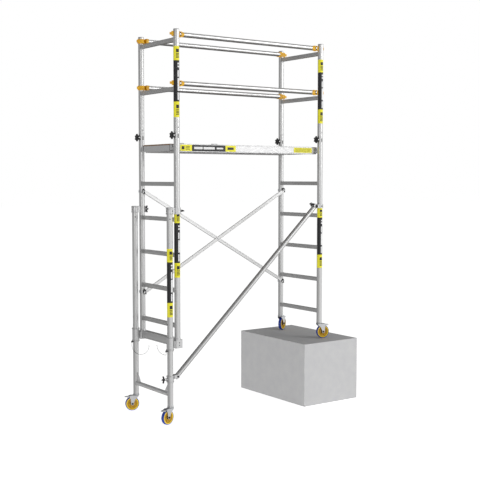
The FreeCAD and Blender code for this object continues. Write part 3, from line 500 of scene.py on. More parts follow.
def star_knob(name):
    joint = joints[name + "_knob_turn"]
    place = axes(joint["pos_m"], Z, joint["axis"])
    form = Form()
    outline = []
    for k in range(96):
        a = 2 * math.pi * k / 96
        wave = 0.5 + 0.5 * math.cos(6 * a)
        radius = (21 + 12.5 * wave ** 0.8) * MM
        outline.append((radius * math.cos(a), radius * math.sin(a)))
    layers = ((-8.5, 0.84), (-7, 0.96), (-4, 1.0), (3, 1.0), (6, 0.95), (7.6, 0.82), (8.2, 0.5))
    verts, rings = [], []
    for height, scale in layers:
        rings.append(list(range(len(verts), len(verts) + len(outline))))
        verts += [(u * scale, v * scale, height * MM) for u, v in outline]
    form.add(verts, between(rings, len(outline)) + [rings[0][::-1], rings[-1]], place)
    form.lathe(mm([(10, 7.5), (9.5, 8.9), (7, 9), (6.6, 7.8), (0, 7.8)]), place, 32)
    form.lathe(mm([(9, -10.6), (9, -8)]), place, 24)
    thread = screw(3.4, -24, 0.7, 23, 0.35)
    form.lathe(mm([(0, -24.2), *thread, (3.4, -8)]), place, 20, shade=1)
    form.stand_for(f"{name}_star_knob", "", black, zinc, name=f"{name}_knob_star")


def wing_knob(name):
    joint = joints[name + "_knob_turn"]
    node = name + "_wing_knob"
    across = {"high_clamp": -Y, "front_leg": Y}.get(name, Z)
    # The knob on the diagonal's upper end has a shorter screw and sits a little further out
    out, turns = (0.9, 7) if name == "high_clamp" else (0, 17)
    place = axes(Vector(joint["pos_m"]) + Vector(joint["axis"]) * out * MM, across, joint["axis"])
    form = Form()
    half = [(6, -7), (11, -6.4), (20, -5), (28, -3), (30.6, -0.5), (31, 4), (29.5, 7.6), (25, 8.6),
            (17, 6), (10, 4.6)]
    wings = [(-6, -7), *half, *((-u, v) for u, v in half[:0:-1])]
    form.prism(mm(wings), -5 * MM, 5 * MM, place @ UPRIGHT, 2.2 * MM, steps=3)
    form.lathe(mm([(8.6, -8), (9.9, -7), (9.6, 0), (8, 8), (7, 12.6), (4.2, 13.3)]), place, 32)
    start = -8.25 - 0.75 * turns
    thread, tip = screw(3.3, start, 0.75, turns), screw(3.2, 13, 0.85, 10)
    form.lathe(mm([(0, start - 0.2), *thread, (3.4, -8), *tip, (0, 21.9)]), place, 20, shade=1)
    form.stand_for(node, "detailed", black, zinc)


# ---- Guard rail claws ----

def claw(form, at, along, outward):
    """One claw. Local X runs along the rail away from the post, local Y points out of the tower."""
    up = Vector(along).cross(Vector(outward))
    place = axes(at, along, up)
    inner, outer = 25.6, 37.5
    jaw = [
        (outer, -2), (outer, -18), *arc(outer, -30, -150, 14), (-outer, -14), (-outer, -2),
        (-inner - 7, -0.5), (-inner, -1), *arc(inner, 184, 356, 20), (inner, -1), (inner + 7, -0.5),
    ]
    form.prism(mm(jaw), -19 * MM, 19 * MM, place, 3.2 * MM, steps=3)
    for z in (-10, 0, 10):
        ring = [(u, v, z) for u, v in arc(outer - 0.4, -35, -145, 16)]
        form.sweep(mm(ring), 1.3 * MM, place)
    # Beak beyond the post
    beak = [(-24, -29), (-30, -27.5), (-38, -24.5), (-46, -20.5), (-53.3, -18), (-53.3, -15.6),
            (-46, -11), (-38, -5), (-34, -2.5), (-31, -2.5)]
    form.prism(mm(beak), -10 * MM, 10 * MM, place, 4 * MM, steps=3)
    # Neck, and the socket for the rail, whose end leans so that its inner side is shorter
    neck = [(24, -50), (28, -54), (42, -54), (48, -49), (60, -36), (64, -30), (64, -8), (58, -6),
            (44, -6), (38, -8), (33, -18), (27, -26)]
    form.prism(mm(neck), -22 * MM, 22 * MM, place, 6 * MM, steps=3)
    socket = axes(place @ Vector((0, -30 * MM, 0)), place.to_3x3() @ Y, place.to_3x3() @ X)
    lip = [(21.2, 34, 0.0), (24.6, 34, 0.0), (24.9, 52, 0.5), (24.4, 55, 0.6), (23.6, 56, 0.6),
           (23.9, 58, 0.65), (22.6, 66, 0.8), (21.8, 69, 0.83), (21.2, 69.2, 0.83)]
    form.leaning_ring(lip, socket, 40)
    # Sprung catch in the open side: a black half ring, a steel button, and two black pads on the end that are
    # painted shade for two slots
    half_ring = [(u, v, 0) for u, v in arc(13 * MM, 40, 320, 24)]
    form.sweep(half_ring, 4.2 * MM, place @ axes((41 * MM, -6 * MM, 0), X, Y), 10, shade=1)
    button = place @ axes((43 * MM, -9 * MM, 0), X, Y)
    form.lathe(mm([(9.5, 0), (9.5, 5.4), (8, 6.6), (3, 7), (2.4, 5.8), (0, 5.8)]), button, 28, shade=2)
    for z in (-8 * MM, 8 * MM):
        # A black pad a little proud of the end: painted shade in place of a slot
        slot = place @ axes((57 * MM, -7 * MM, z), X, Y)
        form.prism(rounded(4.5 * MM, 2.6 * MM, 2 * MM), 0, 1.4 * MM, slot, 0.5 * MM, shade=1)
        rivet = place @ axes((52 * MM, -20 * MM, 2 * z), X, (0, 0, z))
        form.lathe(mm([(4.2, -2), (4.2, 0.4), (3, 0.9), (0, 1)]), rivet, 20, shade=1)


def rail_claws():
    for row, y in ROWS.items():
        outward = -Y if row == "front" else Y
        for level in ("top", "mid"):
            rail = f"{row}_{level}_rail"
            height = middle(rail, 2)
            form = Form()
            claw(form, (LEFT, y, height), X, outward)
            claw(form, (RIGHT, y, height), -X, outward)
            form.stand_for(rail + "_claws", "detailed", amber, black, zinc)


# ---- Labels with plain marks ----

# The side that faces the front left of the tower, in degrees from +X
FACING = -112


def wrapped(form, x, radius, low, high, from_angle, to_angle, shade):
    """A patch on a round tube of the front row. Angles are in degrees from +X about its axis."""
    columns = int((to_angle - from_angle) / 8)
    verts, faces = [], []
    for row in range(2):
        for k in range(columns + 1):
            a = math.radians(from_angle + (to_angle - from_angle) * k / columns)
            verts.append((x + radius * math.cos(a), FRONT + radius * math.sin(a), (low, high)[row]))
    for k in range(columns):
        faces.append((k, k + 1, columns + 2 + k, columns + 1 + k))
    form.add(verts, faces, None, shade)


def tube_label(name, body, x, levels):
    """Yellow, black and yellow bands with plain marks. levels are four heights, high to low."""
    form = Form()
    skin, mark = TUBE + 0.25 * MM, TUBE + 0.42 * MM
    top, first, second, bottom = levels
    edges = FACING - 14, FACING + 50
    for low, high, shade in ((first, top, 0), (second, first, 1), (bottom, second, 0)):
        wrapped(form, x, skin, low, high, FACING - 78, FACING + 78, shade)
    for low, high in ((first, top), (bottom, second)):
        size = high - low
        wrapped(form, x, mark, low + 0.56 * size, low + 0.80 * size, *edges, 1)
        for k in range(4):
            line = low + (0.16 + 0.095 * k) * size
            wrapped(form, x, mark, line, line + 0.055 * size, *edges, 1)
    # Plain bars on the black band: begin and end as shares of its length, and how far round they reach
    size = first - second
    bars = ((0.06, 0.10, 56), (0.13, 0.17, 56), (0.24, 0.40, 44), (0.43, 0.74, 60), (0.78, 0.96, 44))
    for begin, end, reach in bars:
        low, high = first - end * size, first - begin * size
        wrapped(form, x, mark, low, high, FACING + 14, FACING + reach, 2)
    form.make(name, body, [decal_yellow, decal_black, decal_white])


def leg_plugs():
    """A small dark plug pressed in a hole of each stair leg."""
    out = Vector((math.cos(math.radians(FACING)), math.sin(math.radians(FACING)), 0))
    for row, y in ROWS.items():
        form = Form()
        dome(form, Vector((LEG, y, LEG_PLUG)) + out * (TUBE - 0.5 * MM), out, 5.6 * MM, 1.1 * MM)
        form.make(f"{row}_leg_plug", "stair_legs", [black])


def labels():
    tube_label("left_guard_post_label", "tower", LEFT, (3.175, 3.058, 2.717, 2.588))
    tube_label("right_guard_post_label", "tower", RIGHT, (3.175, 3.058, 2.717, 2.588))
    tube_label("left_upright_label", "tower", LEFT, (1.800, 1.704, 1.367, 1.243))
    tube_label("right_upright_label", "tower", RIGHT, (1.806, 1.712, 1.364, 1.240))
    tube_label("stair_leg_label", "stair_legs", LEG, (1.490, 1.376, 1.034, 0.912))


# ---- Casters ----

def caster(name):
    roll, swivel = joints[name + "_roll"], joints[name + "_swivel"]
    across = Vector(roll["axis"])
    trail = across.cross(Z)
    hub = Vector(roll["pos_m"])
    ground = hub.z - WHEEL
    wheel = axes(hub, trail, across)

    form = Form()
    side = mm([(56.1, -13.6), (57.6, -14.8), (60.4, -13.8), (61.9, -10.5), (62.4, -6)])
    tread = side + [(WHEEL, 0)] + both_ways(side)[len(side):]
    form.lathe(tread, wheel, 96, closed=True)
    form.stand_for(f"{name}_tyre", "round", blue)

    form = Form()
    hub_side = [(6.3, 17), (11, 17), (12.6, 16), (13, 12), (16.5, 8), (18, 5)]
    dish_side = [(17, 6.2), (27, 5.6), (40, 6.2), (44, 7.4), (45.6, 10.5)]
    ring_side = [(44, 5), (45.2, 9.5), (46.6, 12.6), (47.6, 14), (54.6, 14), (55.9, 13.2)]
    # The dish, the spokes and the beads take the darker amber, which paints the shade in the wheel's recess
    for side, shade in ((hub_side, 2), (dish_side, 1), (ring_side, 0)):
        form.lathe(mm(both_ways(side)), wheel, 72, shade, closed=True)
    for k in range(6):
        spoke = wheel @ Matrix.Rotation(math.radians(60 * k), 4, "Z")
        for way in (-1, 1):
            ends = sorted((way * 5.5 * MM, way * 10.5 * MM))
            form.block((12 * MM, 46 * MM), (-1.8 * MM, 1.8 * MM), ends, spoke, 0.8 * MM, 1)
    for z in (-6.6, 6.6):
        bead = mm([(u, v, z) for u, v in arc(31, 0, 355, 71)])
        form.sweep(bead, 1.6 * MM, wheel, shade=1, closed=True)
    form.stand_for(f"{name}_rim", "spoked", rim_yellow, rim_dish_painted_shade, dark_steel_and_slot_shade)

    stem = Vector(swivel["pos_m"])
    base = axes((stem.x, stem.y, ground), trail, Z)
    form = Form()
    cheek = [
        (-20, 134), (-20, 128), (-12, 120), (10, 104), *arc(13.5, 150, 350, 14, (36, 62.5)),
        (53, 104), (60, 119), (66, 122), (67.5, 130), (62, 134),
    ]
    for y in (-20.5 * MM, 20.5 * MM):
        plate = base @ axes((0, y, 0), X, -Y)
        form.prism(mm(cheek), -1.5 * MM, 1.5 * MM, plate, 0.7 * MM)
    top = both_ways([(-20, -21.5), (0, -22), (56, -22), (58, -14)])
    top += [(-27, 10), (-28.5, 0), (-27, -10)]
    form.prism(mm(top), 134 * MM, 137.6 * MM, base, 1 * MM)
    form.lathe(mm([(29, 136), (29, 138.4), (27, 140.4), (18, 140.5)]), base, 48)
    groove = mm([(u, v, 139) for u, v in arc(27.5, 0, 354, 59)])
    form.sweep(groove, 1.2 * MM, base, shade=1, closed=True)
    for way in (-1, 1):
        bolt = axes(hub + across * way * 22 * MM, trail, across * way)
        form.lathe(mm([(9.4, 0), (9.4, 1.1), (6, 1.3)]), bolt, 32, shade=1)
        form.prism(hexagon(9 * MM), 1.1 * MM, 4.9 * MM, bolt, 0.5 * MM, shade=1)
    form.lathe(mm([(6, -22), (6, 22)]), wheel, 24, shade=1)
    form.stand_for(f"{name}_fork", "pressed", zinc, dark_steel_and_slot_shade)

    pivot = base @ axes((62 * MM, 0, 126 * MM))
    form = Form()
    tread = [(-3, -2), (-4, 3), (2, 4.6), (22, 4), (34, 1.6), (42, -1.4), (42, -3.2), (34, -0.6),
             (23, 0.2), (23, -7), (21, -9), (10, -9), (9, -6), (8, -2)]
    form.prism(mm(tread), -15 * MM, 15 * MM, pivot @ UPRIGHT, 0.9 * MM)
    for k in range(4):
        form.block(((24 + 4.2 * k) * MM, (25.8 + 4.2 * k) * MM), (-12 * MM, 12 * MM),
                   ((3.4 - 1.0 * k) * MM, (4.6 - 1.1 * k) * MM), pivot, 0.4 * MM)
    form.lathe(mm([(3, -22), (3, 22)]), pivot @ axes(ORIGIN, X, Y), 16)
    form.stand_for(f"{name}_brake_pedal", "", zinc, name=f"{name}_brake_tread")
    return base


def caster_stems(bases):
    stem = [(22, 141), (26.6, 141.4), (27, 143), (27, 149), (25.8, 151), (25.8, 153.2), (24, 153.9),
            (22.7, 154), (22.7, 190)]
    for side in ENDS:
        form = Form()
        for name, base in bases.items():
            if name.startswith(side):
                form.lathe(mm(stem), base, 48)
        node = f"{side}_caster_stems"
        form.stand_for(node, "turned", zinc)


# ---- Sleeves, brackets, clamps and foot bar ----

def leg_sleeves():
    low, high = span("leg_sleeves", 2)
    sleeve = both_ways([(25.5, -57.6), (33.6, -58), (35, -56.4), (35, -50), (33, -48.2), (30.6, -47.4)])
    neck = mm([(22, 86), (27, 86), (27, 95), (25.6, 97.6), (22.6, 98)]) + [(22.6 * MM, high - low)]
    form = Form()
    for y in ROWS.values():
        way = 1 if y > 0 else -1
        form.lathe(mm(sleeve), axes((LEG, y, low + 58 * MM)), 56, closed=True)
        # A narrow web joins the sleeve to the socket block under the upright
        middle_z = low + 51 * MM
        web = LEG + 28 * MM, LEFT - 22 * MM
        form.block(web, both_sides(y, 22), both_sides(middle_z, 29), None, 3 * MM)
        socket = [(LEFT + u, y + v) for u, v in rounded(33 * MM, 33 * MM, 7 * MM)]
        form.prism(socket, *both_sides(middle_z, 36), None, 2.2 * MM, steps=3)
        form.block(both_sides(LEFT, 22), both_sides(y, 33.4), both_sides(middle_z, 24), None, 1.4 * MM)
        form.lathe(neck, axes((LEFT, y, low)), 48)
        for z in both_sides(middle_z, 11):
            dome(form, (LEFT, y + way * 33.2 * MM, z), Y * way, 5 * MM, 2 * MM, 1)
        bolt_head(form, (LEFT + 33 * MM, y, middle_z), X, 6 * MM, 0.2 * MM)
    form.stand_for("leg_sleeves", "cast", casting, dark_steel_and_slot_shade)


def bottom_beam():
    low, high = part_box("bottom_beam")
    x, z = (low[0] + high[0]) / 2, (low[2] + high[2]) / 2
    half_x, half_z, lip, step = (high[0] - low[0]) / 2, (high[2] - low[2]) / 2, 9 * MM, 1.2 * MM
    side = [(half_x, half_z - 1.5 * MM), (half_x, half_z - lip), (half_x - step, half_z - lip - step),
            (half_x - step, lip + step - half_z), (half_x, lip - half_z), (half_x, 1.5 * MM - half_z),
            (half_x - 1.5 * MM, -half_z)]
    outline = side + [(-u, v) for u, v in reversed(side)]
    outline += [(1.5 * MM - half_x, half_z), (half_x - 1.5 * MM, half_z)]
    form = Form()
    form.prism(outline, low[1], high[1], axes((x, 0, z), X, -Y))
    for y in (low[1] + 2 * MM, high[1] - 2 * MM):
        seam = [(x + u, y, z + v) for u, v in rounded(half_x + 0.2 * MM, half_z + 0.2 * MM, 3 * MM, 3)]
        form.sweep(seam, 2 * MM, shade=1, closed=True)
    form.stand_for("bottom_beam", "profiled", tube_y, weld)


def leg_top_brackets():
    low, top = span("leg_top_brackets", 2)
    centre, tall = (top + low) / 2, (top - low) / MM
    cap = [(25.2, 0), (30, 0), (31, 1.4), (31, 9), (29, 11), (29, tall - 14), (31, tall - 12),
           (31, tall - 4), (28.5, tall - 0.8), (25, tall), (0, tall)]
    boss = [(4.2, 27), (11, 27), (11, 33), (9.6, 34), (9.6, 39), (8.8, 40), (4.2, 40)]
    form = Form()
    for y in ROWS.values():
        inward = Y if y < 0 else -Y
        form.lathe(mm(cap), axes((LEG, y, low)), 56)
        jaw = axes((LEFT, y, low), inward.cross(Z), Z)
        form.prism(TUBE_JAW, 0.5 * MM, (tall - 0.5) * MM, jaw, 1.4 * MM)
        for half, z in ((12, (low + 1 * MM, top - 1 * MM)), (15, both_sides(centre, 8))):
            form.block((LEG + 26 * MM, LEFT - 27 * MM), both_sides(y, half), z, None, 3 * MM)
        form.lathe(mm(boss), axes((LEFT, y, centre), Z, X), 32, closed=True)
        for turn in (-60, 180):
            out = Vector((math.cos(math.radians(turn)), inward.y * math.sin(math.radians(turn)), 0))
            bolt_head(form, Vector((LEG, y, centre)) + out * 28.6 * MM, out, 4.5 * MM, 2.2 * MM)
    form.stand_for("leg_top_brackets", "cast", casting, dark_steel_and_slot_shade)


def clevis(form, tube_x, x, height):
    """A base on a tube's side, with the lugs and the pivot bolt of one end of the diagonal."""
    way = 1 if x > tube_x else -1
    base = sorted((tube_x + way * 26 * MM, tube_x + way * 33 * MM))
    form.block(base, both_sides(FRONT, 26.2), both_sides(height, 15.6), None, 1.4 * MM)
    start, half = tube_x + way * 30 * MM - x, 16 * MM
    outline = [(start, half * 0.9), *arc(half, 90, 90 - 180 * way, 14), (start, -half * 0.9)]
    for y in (-23.9 * MM, 23.9 * MM):
        form.prism(outline, -2.5 * MM, 2.5 * MM, axes((x, FRONT + y, height), X, -Y), 0.8 * MM)
    for side in (-1, 1):
        bolt_head(form, (x, FRONT + side * 26.4 * MM, height), Y * side, 8.4 * MM, 4.9 * MM)
    form.lathe(mm([(4.9, -26.4), (4.9, 26.4)]), axes((x, FRONT, height), X, Y), 24, shade=1)


def diagonal_clamps():
    form = Form()
    low_z = joints["low_clamp_knob_turn"]["pos_m"][2]
    # Collar round the stair leg, with the knob's boss on its left
    collar = both_ways([(25.1, -28), (31.6, -28), (33, -26.6), (33, -19), (31, -17.6)])
    form.lathe(mm(collar), axes((LEG, FRONT, low_z)), 56, closed=True)
    boss = [(4.2, 30), (11, 30), (10.6, 40), (9.4, 42), (9.4, 54), (10.6, 55), (10.6, 57.6),
            (4.2, 57.9)]
    form.lathe(mm(boss), axes((LEG, FRONT, low_z), Z, -X), 32, closed=True)
    clevis(form, LEG, LEG + 63 * MM, low_z + 16 * MM)
    # Open jaw on the upright at the other end
    pivot_x = RIGHT - 58.5 * MM
    jaw = axes((RIGHT, FRONT, HIGH_PIVOT))
    form.prism(TUBE_JAW, -18.8 * MM, 18.8 * MM, jaw, 1.4 * MM)
    clevis(form, RIGHT, pivot_x, HIGH_PIVOT)
    bolt_head(form, (RIGHT, FRONT - 33 * MM, HIGH_PIVOT), -Y, 6.4 * MM, 0.2 * MM)
    # Saddle over the tube's end, which leans with it and holds the wing knob
    up = Vector(joints["high_clamp_knob_turn"]["axis"])
    saddle = axes((pivot_x, FRONT, HIGH_PIVOT), DIAGONAL, up)
    back = 12 * MM
    outline = arc(15.6 * MM, 180, 380, 18) + [(11 * MM - back, 27 * MM), (-back - 11 * MM, 27 * MM)]
    for y in (-23.9 * MM, 23.9 * MM):
        form.prism(outline, -2.5 * MM, 2.5 * MM, saddle @ axes((0, y, 0), X, -Y), 0.8 * MM)
    form.block(both_sides(-back, 10.8), both_sides(0, 26.2), (21.6 * MM, 27.3 * MM), saddle, 1.2 * MM)
    boss = [(4.2, 22), (11, 22), (10.4, 28), (9.6, 29.1), (4.2, 29.2)]
    form.lathe(mm(boss), saddle @ axes((-back, 0, 0)), 32, closed=True)
    form.stand_for("diagonal_clamps", "cast", casting, dark_steel_and_slot_shade)


def foot_bar():
    z = span("foot_bar_and_gussets", 2)[0] + 19 * MM
    inside = BACK - 23 * MM
    form = Form()
    tube = both_ways([(17 * MM, -inside), (19 * MM, -inside)])
    form.lathe(tube, axes((LEG, 0, z), X, Y), 48, closed=True)
    for way in (-1, 1):
        weld_ring(form, (LEG, way * BACK, z), Y * -way, Z, 19.6 * MM, TUBE)
        plate = mm([(0, 19), (60, 17), (61.5, 19.5), (60, 22), (6, 97), (3, 98.6), (0, 98.6)])
        place = axes((LEG, way * (BACK - TUBE), z), Y * -way, X)
        flip = 1 if way < 0 else -1
        form.prism([(u, flip * v) for u, v in plate], -3.8 * MM, 3.8 * MM, place, 1.1 * MM)
        seam = [(0.4 * MM, flip * (20 + 6 * k) * MM, 4 * MM) for k in range(14)]
        form.sweep(seam, 1.6 * MM, place, shade=1)
    form.stand_for("foot_bar_and_gussets", "", bar_metal, weld, name="foot_bar_welded")


# ---- Cross brace and post caps ----

def cross_brace():
    middle_x, middle_z = (LEFT + RIGHT) / 2, (BRACE_LOW + BRACE_HIGH) / 2
    run, rise = RIGHT - LEFT, BRACE_HIGH - BRACE_LOW
    reach = math.hypot(run, rise) / 2
    outer = BACK - 42 * MM
    form, clips = Form(), Form()
    for shade, (way, near) in enumerate(((-1, outer), (1, outer - 12 * MM))):
        along = Vector((run, 0, way * rise)).normalized()
        place = axes((middle_x, near + 6 * MM, middle_z), Y, along)
        side = both_ways([(6, 14), (4.5, 15.4), (-4.5, 15.4), (-6, 14), (-6, 9), (-5, 8)])
        side += [(6, -9), (5, -8), (5, 8), (6, 9)]
        form.prism(mm(side), 22 * MM - reach, reach - 22 * MM, place, shade=shade)
        for end in (-1, 1):
            # The ends are pressed flat and round about the rivet
            flat = [(0, 15.4 * MM)] + arc(15.4 * MM, 90, -90, 14) + [(0, -15.4 * MM)]
            flat = [(u + 0.001 * MM, v) for u, v in flat] + mm([(-26, -15.4), (-26, 15.4)])
            rivet = Vector((middle_x, near, middle_z)) + along * end * reach
            tip = axes(rivet + Y * 6 * MM, along * end, Y)
            form.prism(flat, -4 * MM, 4 * MM, tip, 1 * MM, shade)
            dome(clips, rivet, -Y, 8 * MM, 2.8 * MM, 1)
            # A bent leaf spring under the rivet's head
            leaf = [(-13, 21), (-6, 24), (7, 12), (6, -6), (9, -21), (3, -22), (-1, -10), (0, 6),
                    (-8, 14), (-14, 4), (-24, -12), (-28, -8), (-21, 8)]
            clips.prism(mm(leaf), 0.1 * MM, 2.5 * MM, axes(rivet, X, -Y), 0.6 * MM)
            clip = axes((rivet.x, BACK, rivet.z))
            snap = open_ring(25.5 * MM, 29.9 * MM, 20.2 * MM)
            clips.prism(snap, -11 * MM, 11 * MM, clip, 1.2 * MM, shade=1)
            base = near + 12.2 * MM - BACK
            clips.block((-12 * MM, 13 * MM), (base, -26 * MM), both_sides(0, 11), clip, 2 * MM)
            # A sprung catch over the bar's end, shaped like a roof
            roof = [(-1, -22), (4, -22), (9, -2), (13, -22), (15, -22), (12, 12), (8, 22), (4, 22)]
            flipped = clip @ axes(ORIGIN, X, Y) @ Matrix.Scale(-1, 4, Y)
            clips.prism(mm(roof), base, -22 * MM, flipped, 1.2 * MM)
    form.stand_for("cross_brace_bars", "formed", brace_falling, brace_rising)
    clips.stand_for("cross_brace_clips", "moulded", black, zinc)
    bolt = Form()
    centre = Vector((middle_x, outer - 12 * MM, middle_z))
    dome(bolt, centre, -Y, 8 * MM, 2.9 * MM)
    dome(bolt, centre + Y * 24 * MM, Y, 8 * MM, 2.9 * MM)
    bolt.lathe(mm([(4.9, 0), (4.9, 24)]), axes(centre, X, Y), 24)
    bolt.stand_for("cross_brace_bolt", "domed", zinc)


def post_caps():
    low, high = span("post_caps", 2)
    cap = [(22.6, (low - high) / MM), (22.6, -4), (24.8, -3.9), (25, -2.6), (24, -0.8), (21, 0),
           (16, -0.2), (15, -1), (0, -1)]
    form = Form()
    for x in ENDS.values():
        for y in ROWS.values():
            form.lathe(mm(cap), axes((x, y, high)), 48)
    form.stand_for("post_caps", "moulded", black)


# ---- Platform ----

def platform_beams():
    low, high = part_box("platform_side_beams")
    tall = (high[2] - low[2]) / MM
    # From the beam's outer lower corner, with a ledge on the inside that carries the boards
    section = mm([
        (0, 1.5), (0, 7), (-1, 8), (-1, tall - 9), (0, tall - 8), (0, tall - 1.5), (-1.5, tall),
        (-27, tall), (-28, tall - 1), (-28, tall - 11), (-40, tall - 11), (-40, tall - 14),
        (-28, tall - 14), (-28, 1), (-27, 0), (-1.5, 0),
    ])
    form = Form()
    for way in (-1, 1):
        outline = [(way * (high[1] + y), low[2] + z) for y, z in section]
        form.prism(outline, low[0], high[0], axes(ORIGIN, Y, X))
    form.stand_for("platform_side_beams", "profiled", beam_metal)


def end_hooks():
    """Castings that hook over the top rungs, and the channel between each pair."""
    bottom, top = span("platform_end_hooks", 2)
    outer = span("platform_side_beams", 1)[1]
    rung_top = span("frame_rungs", 2)[1] + 0.3 * MM
    tall, seat = (top - bottom) / MM, (rung_top - bottom) / MM
    outline = [(17.8, 0), (50, 0), (50, tall), (-24.8, tall), (-24.8, 13), (-17.8, 13), (-17.8, seat),
               (17.8, seat)]
    form = Form()
    for x, along in ((LEFT, X), (RIGHT, -X)):
        for way in (-1, 1):
            place = axes((x, way * (outer - 14 * MM), bottom), along, Y)
            # Local X runs into the platform and local Y runs up or down with the end
            flip = -1 if along.x > 0 else 1
            points = [(u * MM, flip * v * MM) for u, v in outline]
            form.prism(points, -14 * MM, 14 * MM, place, 1.4 * MM)
            for u in (28 * MM, 42 * MM):
                for v in (14 * MM, 46 * MM):
                    at = place @ Vector((u, flip * v, way * 13.4 * MM))
                    dome(form, at, Y * way, 3.4 * MM, 0.6 * MM, 1)
        half, wall, foot = 24 * MM, 3 * MM, 5 * MM
        under, lid = rung_top - bottom + 0.2 * MM, span("deck_boards", 2)[0] - bottom - 0.1 * MM
        shape = [(-half, foot), (-half + wall, foot), (-half + wall, under), (half - wall, under),
                 (half - wall, foot), (half, foot), (half, lid), (-half, lid)]
        channel = axes((x, 0, bottom), X, -Y)
        form.prism(shape, -219 * MM, 219 * MM, channel, 0.6 * MM)
    form.stand_for("platform_end_hooks", "cast", casting, dark_steel_and_slot_shade)


def crossbeams():
    low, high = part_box("platform_crossbeams")
    half = (high[2] - low[2]) / 2
    form = Form()
    outline = ribbed_outline(half, 2.5 * MM, 4, 1 * MM)
    for x in (low[0] + half, LEFT + 0.54 * (RIGHT - LEFT), high[0] - half):
        place = axes((x, 0, (low[2] + high[2]) / 2), X, -Y)
        form.prism(outline, low[1] + 0.2 * MM, high[1] - 0.2 * MM, place)
    form.stand_for("platform_crossbeams", "ribbed", beam_metal)


def board(form, x, y, z, notch=0.0):
    """A plywood board whose edges show its plies. notch takes its two far corners off."""
    outline = [(x[0], y[0]), (x[1], y[0]), (x[1], y[1]), (x[0], y[1])]
    if notch:
        left, front, back = x[1] - notch, y[0] + 4 * MM, y[1] - 4 * MM
        outline = [(x[0], y[0]), (left, y[0]), (left, front), (x[1], front),
                   (x[1], back), (left, back), (left, y[1]), (x[0], y[1])]
    start = len(form.faces)
    form.prism(outline, z[0], z[1], None, 0.5 * MM, steps=1)
    for index in range(start, len(form.faces)):
        a, b, c = (Vector(form.verts[i]) for i in form.faces[index][:3])
        normal = (b - a).cross(c - b)
        if normal.length and abs(normal.normalized().z) < 0.3:
            form.shades[index] = 1


def boards():
    low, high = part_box("deck_boards")
    hatch_low, hatch_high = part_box("hatch_board")
    y, z = (low[1], high[1]), (low[2], high[2])
    gap = 2 * MM
    form = Form()
    board(form, (low[0], hatch_low[0] - gap), y, z)
    board(form, (hatch_high[0] + gap, high[0]), y, z, 74 * MM)
    form.stand_for("deck_boards", "faced", ply, ply_edge)
    form = Form()
    board(form, (hatch_low[0], hatch_high[0]), y, z)
    form.stand_for("hatch_board", "faced", ply, ply_edge)


def beam_label():
    """Flat labels along the front beam."""
    low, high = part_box("platform_side_beams")
    face = low[1] - 0.3 * MM
    form = Form()

    def patch(start, begin, end, bottom, top, shade, lift=0.0):
        """A rectangle. begin and end are in mm from start."""
        left, right, y = start + begin * MM, start + end * MM, face - lift
        corners = [(left, y, bottom), (right, y, bottom), (right, y, top), (left, y, top)]
        form.add(corners, [(0, 1, 2, 3)], None, shade)

    bottom, top = low[2] + 8 * MM, high[2] - 6 * MM
    middle_z = (bottom + top) / 2
    lift = 0.15 * MM
    start = LEFT + 60 * MM
    for begin, end, shade in ((0, 118, 0), (118, 465, 1), (465, 575, 0)):
        patch(start, begin, end, bottom, top, shade)
    # Plain bars: begin, end, half height, shade
    bars = ((14, 42, 13, 1), (140, 226, 10, 2), (236, 352, 10, 2), (372, 440, 7, 2), (486, 552, 11, 1))
    for begin, end, half, shade in bars:
        patch(start, begin, end, *both_sides(middle_z, half), shade, lift)
    for k in range(3):
        z = bottom + (12 + 12 * k) * MM
        patch(start, 54, 96, z, z + 5 * MM, 1, lift)
    start = LEFT + 1290 * MM
    patch(start, 0, 214, bottom + 4 * MM, top - 4 * MM, 0)
    for k in range(4):
        z = bottom + (11 + 9 * k) * MM
        patch(start, 14, 200, z, z + 3 * MM, 1, lift)
    form.make("platform_beam_label", "platform", [decal_yellow, decal_black, decal_white])


# ---- Build ----

dress_nodes()
rungs("frame_rungs", [LOWEST_RUNG + RUNG_PITCH * k for k in range(RUNGS)])
rungs("guard_crossbars", outermost("guard_crossbars", RUNG))
for name in CORNERS:
    star_knob(name)
for name in ("front_leg", "back_leg", "low_clamp", "high_clamp"):
    wing_knob(name)
rail_claws()
labels()
leg_plugs()
caster_stems({name: caster(name) for name in CORNERS})
leg_sleeves()
bottom_beam()
leg_top_brackets()
diagonal_clamps()
foot_bar()
cross_brace()
post_caps()
platform_beams()
end_hooks()
crossbeams()
boards()
beam_label()


# ---- Stage, light and camera ----

def stage_block(name, x, y, z, mat):
    form = Form()
    form.block(x, y, z, None, 6 * MM)
    made = form.as_object(name, [mat])
    made.visible_glossy = name != "floor"


pale = surface("pale_floor", (grey(0.80), grey(0.82)), 0.0, 0.8, scale=3.0, bump=0.02)
glow = pale.node_tree.nodes["Principled BSDF"].inputs
glow["Emission Color"].default_value = (1, 1, 1, 1)
glow["Emission Strength"].default_value = 0.8
plinth = surface("pale_plinth", (grey(0.56, 0.57), grey(0.60)), 0.0, 0.8, scale=14.0, bump=0.1)
landing = span("right_front_tyre", 2)[0]
stage_block("floor", (-60, 60), (-60, 60), (-0.05, -STAGE_GAP), pale)
stage_block("landing", (RIGHT - 0.34, RIGHT + 0.30), (FRONT - 0.20, BACK + 0.20),
            (-STAGE_GAP, landing - STAGE_GAP), plinth)


def area_light(name, at, towards, size, power):
    """A white light. The size is in metres and the power in watts."""
    data = bpy.data.lights.new(name, "AREA")
    data.shape = "RECTANGLE"
    data.size, data.size_y = size
    data.energy = power
    made = bpy.data.objects.new(name, data)
    made.location = at
    made.rotation_euler = (Vector(towards) - Vector(at)).to_track_quat("-Z", "Y").to_euler()
    bpy.context.scene.collection.objects.link(made)


area_light("key", (4.5, -6.0, 5.0), (0, 0, 1.6), (3.0, 4.5), 150)
area_light("fill", (-7.0, -6.0, 3.0), (0, 0, 1.6), (1.5, 4.0), 40)
area_light("top", (0.0, 1.0, 8.0), (0, 0, 1.0), (3.0, 3.0), 55)

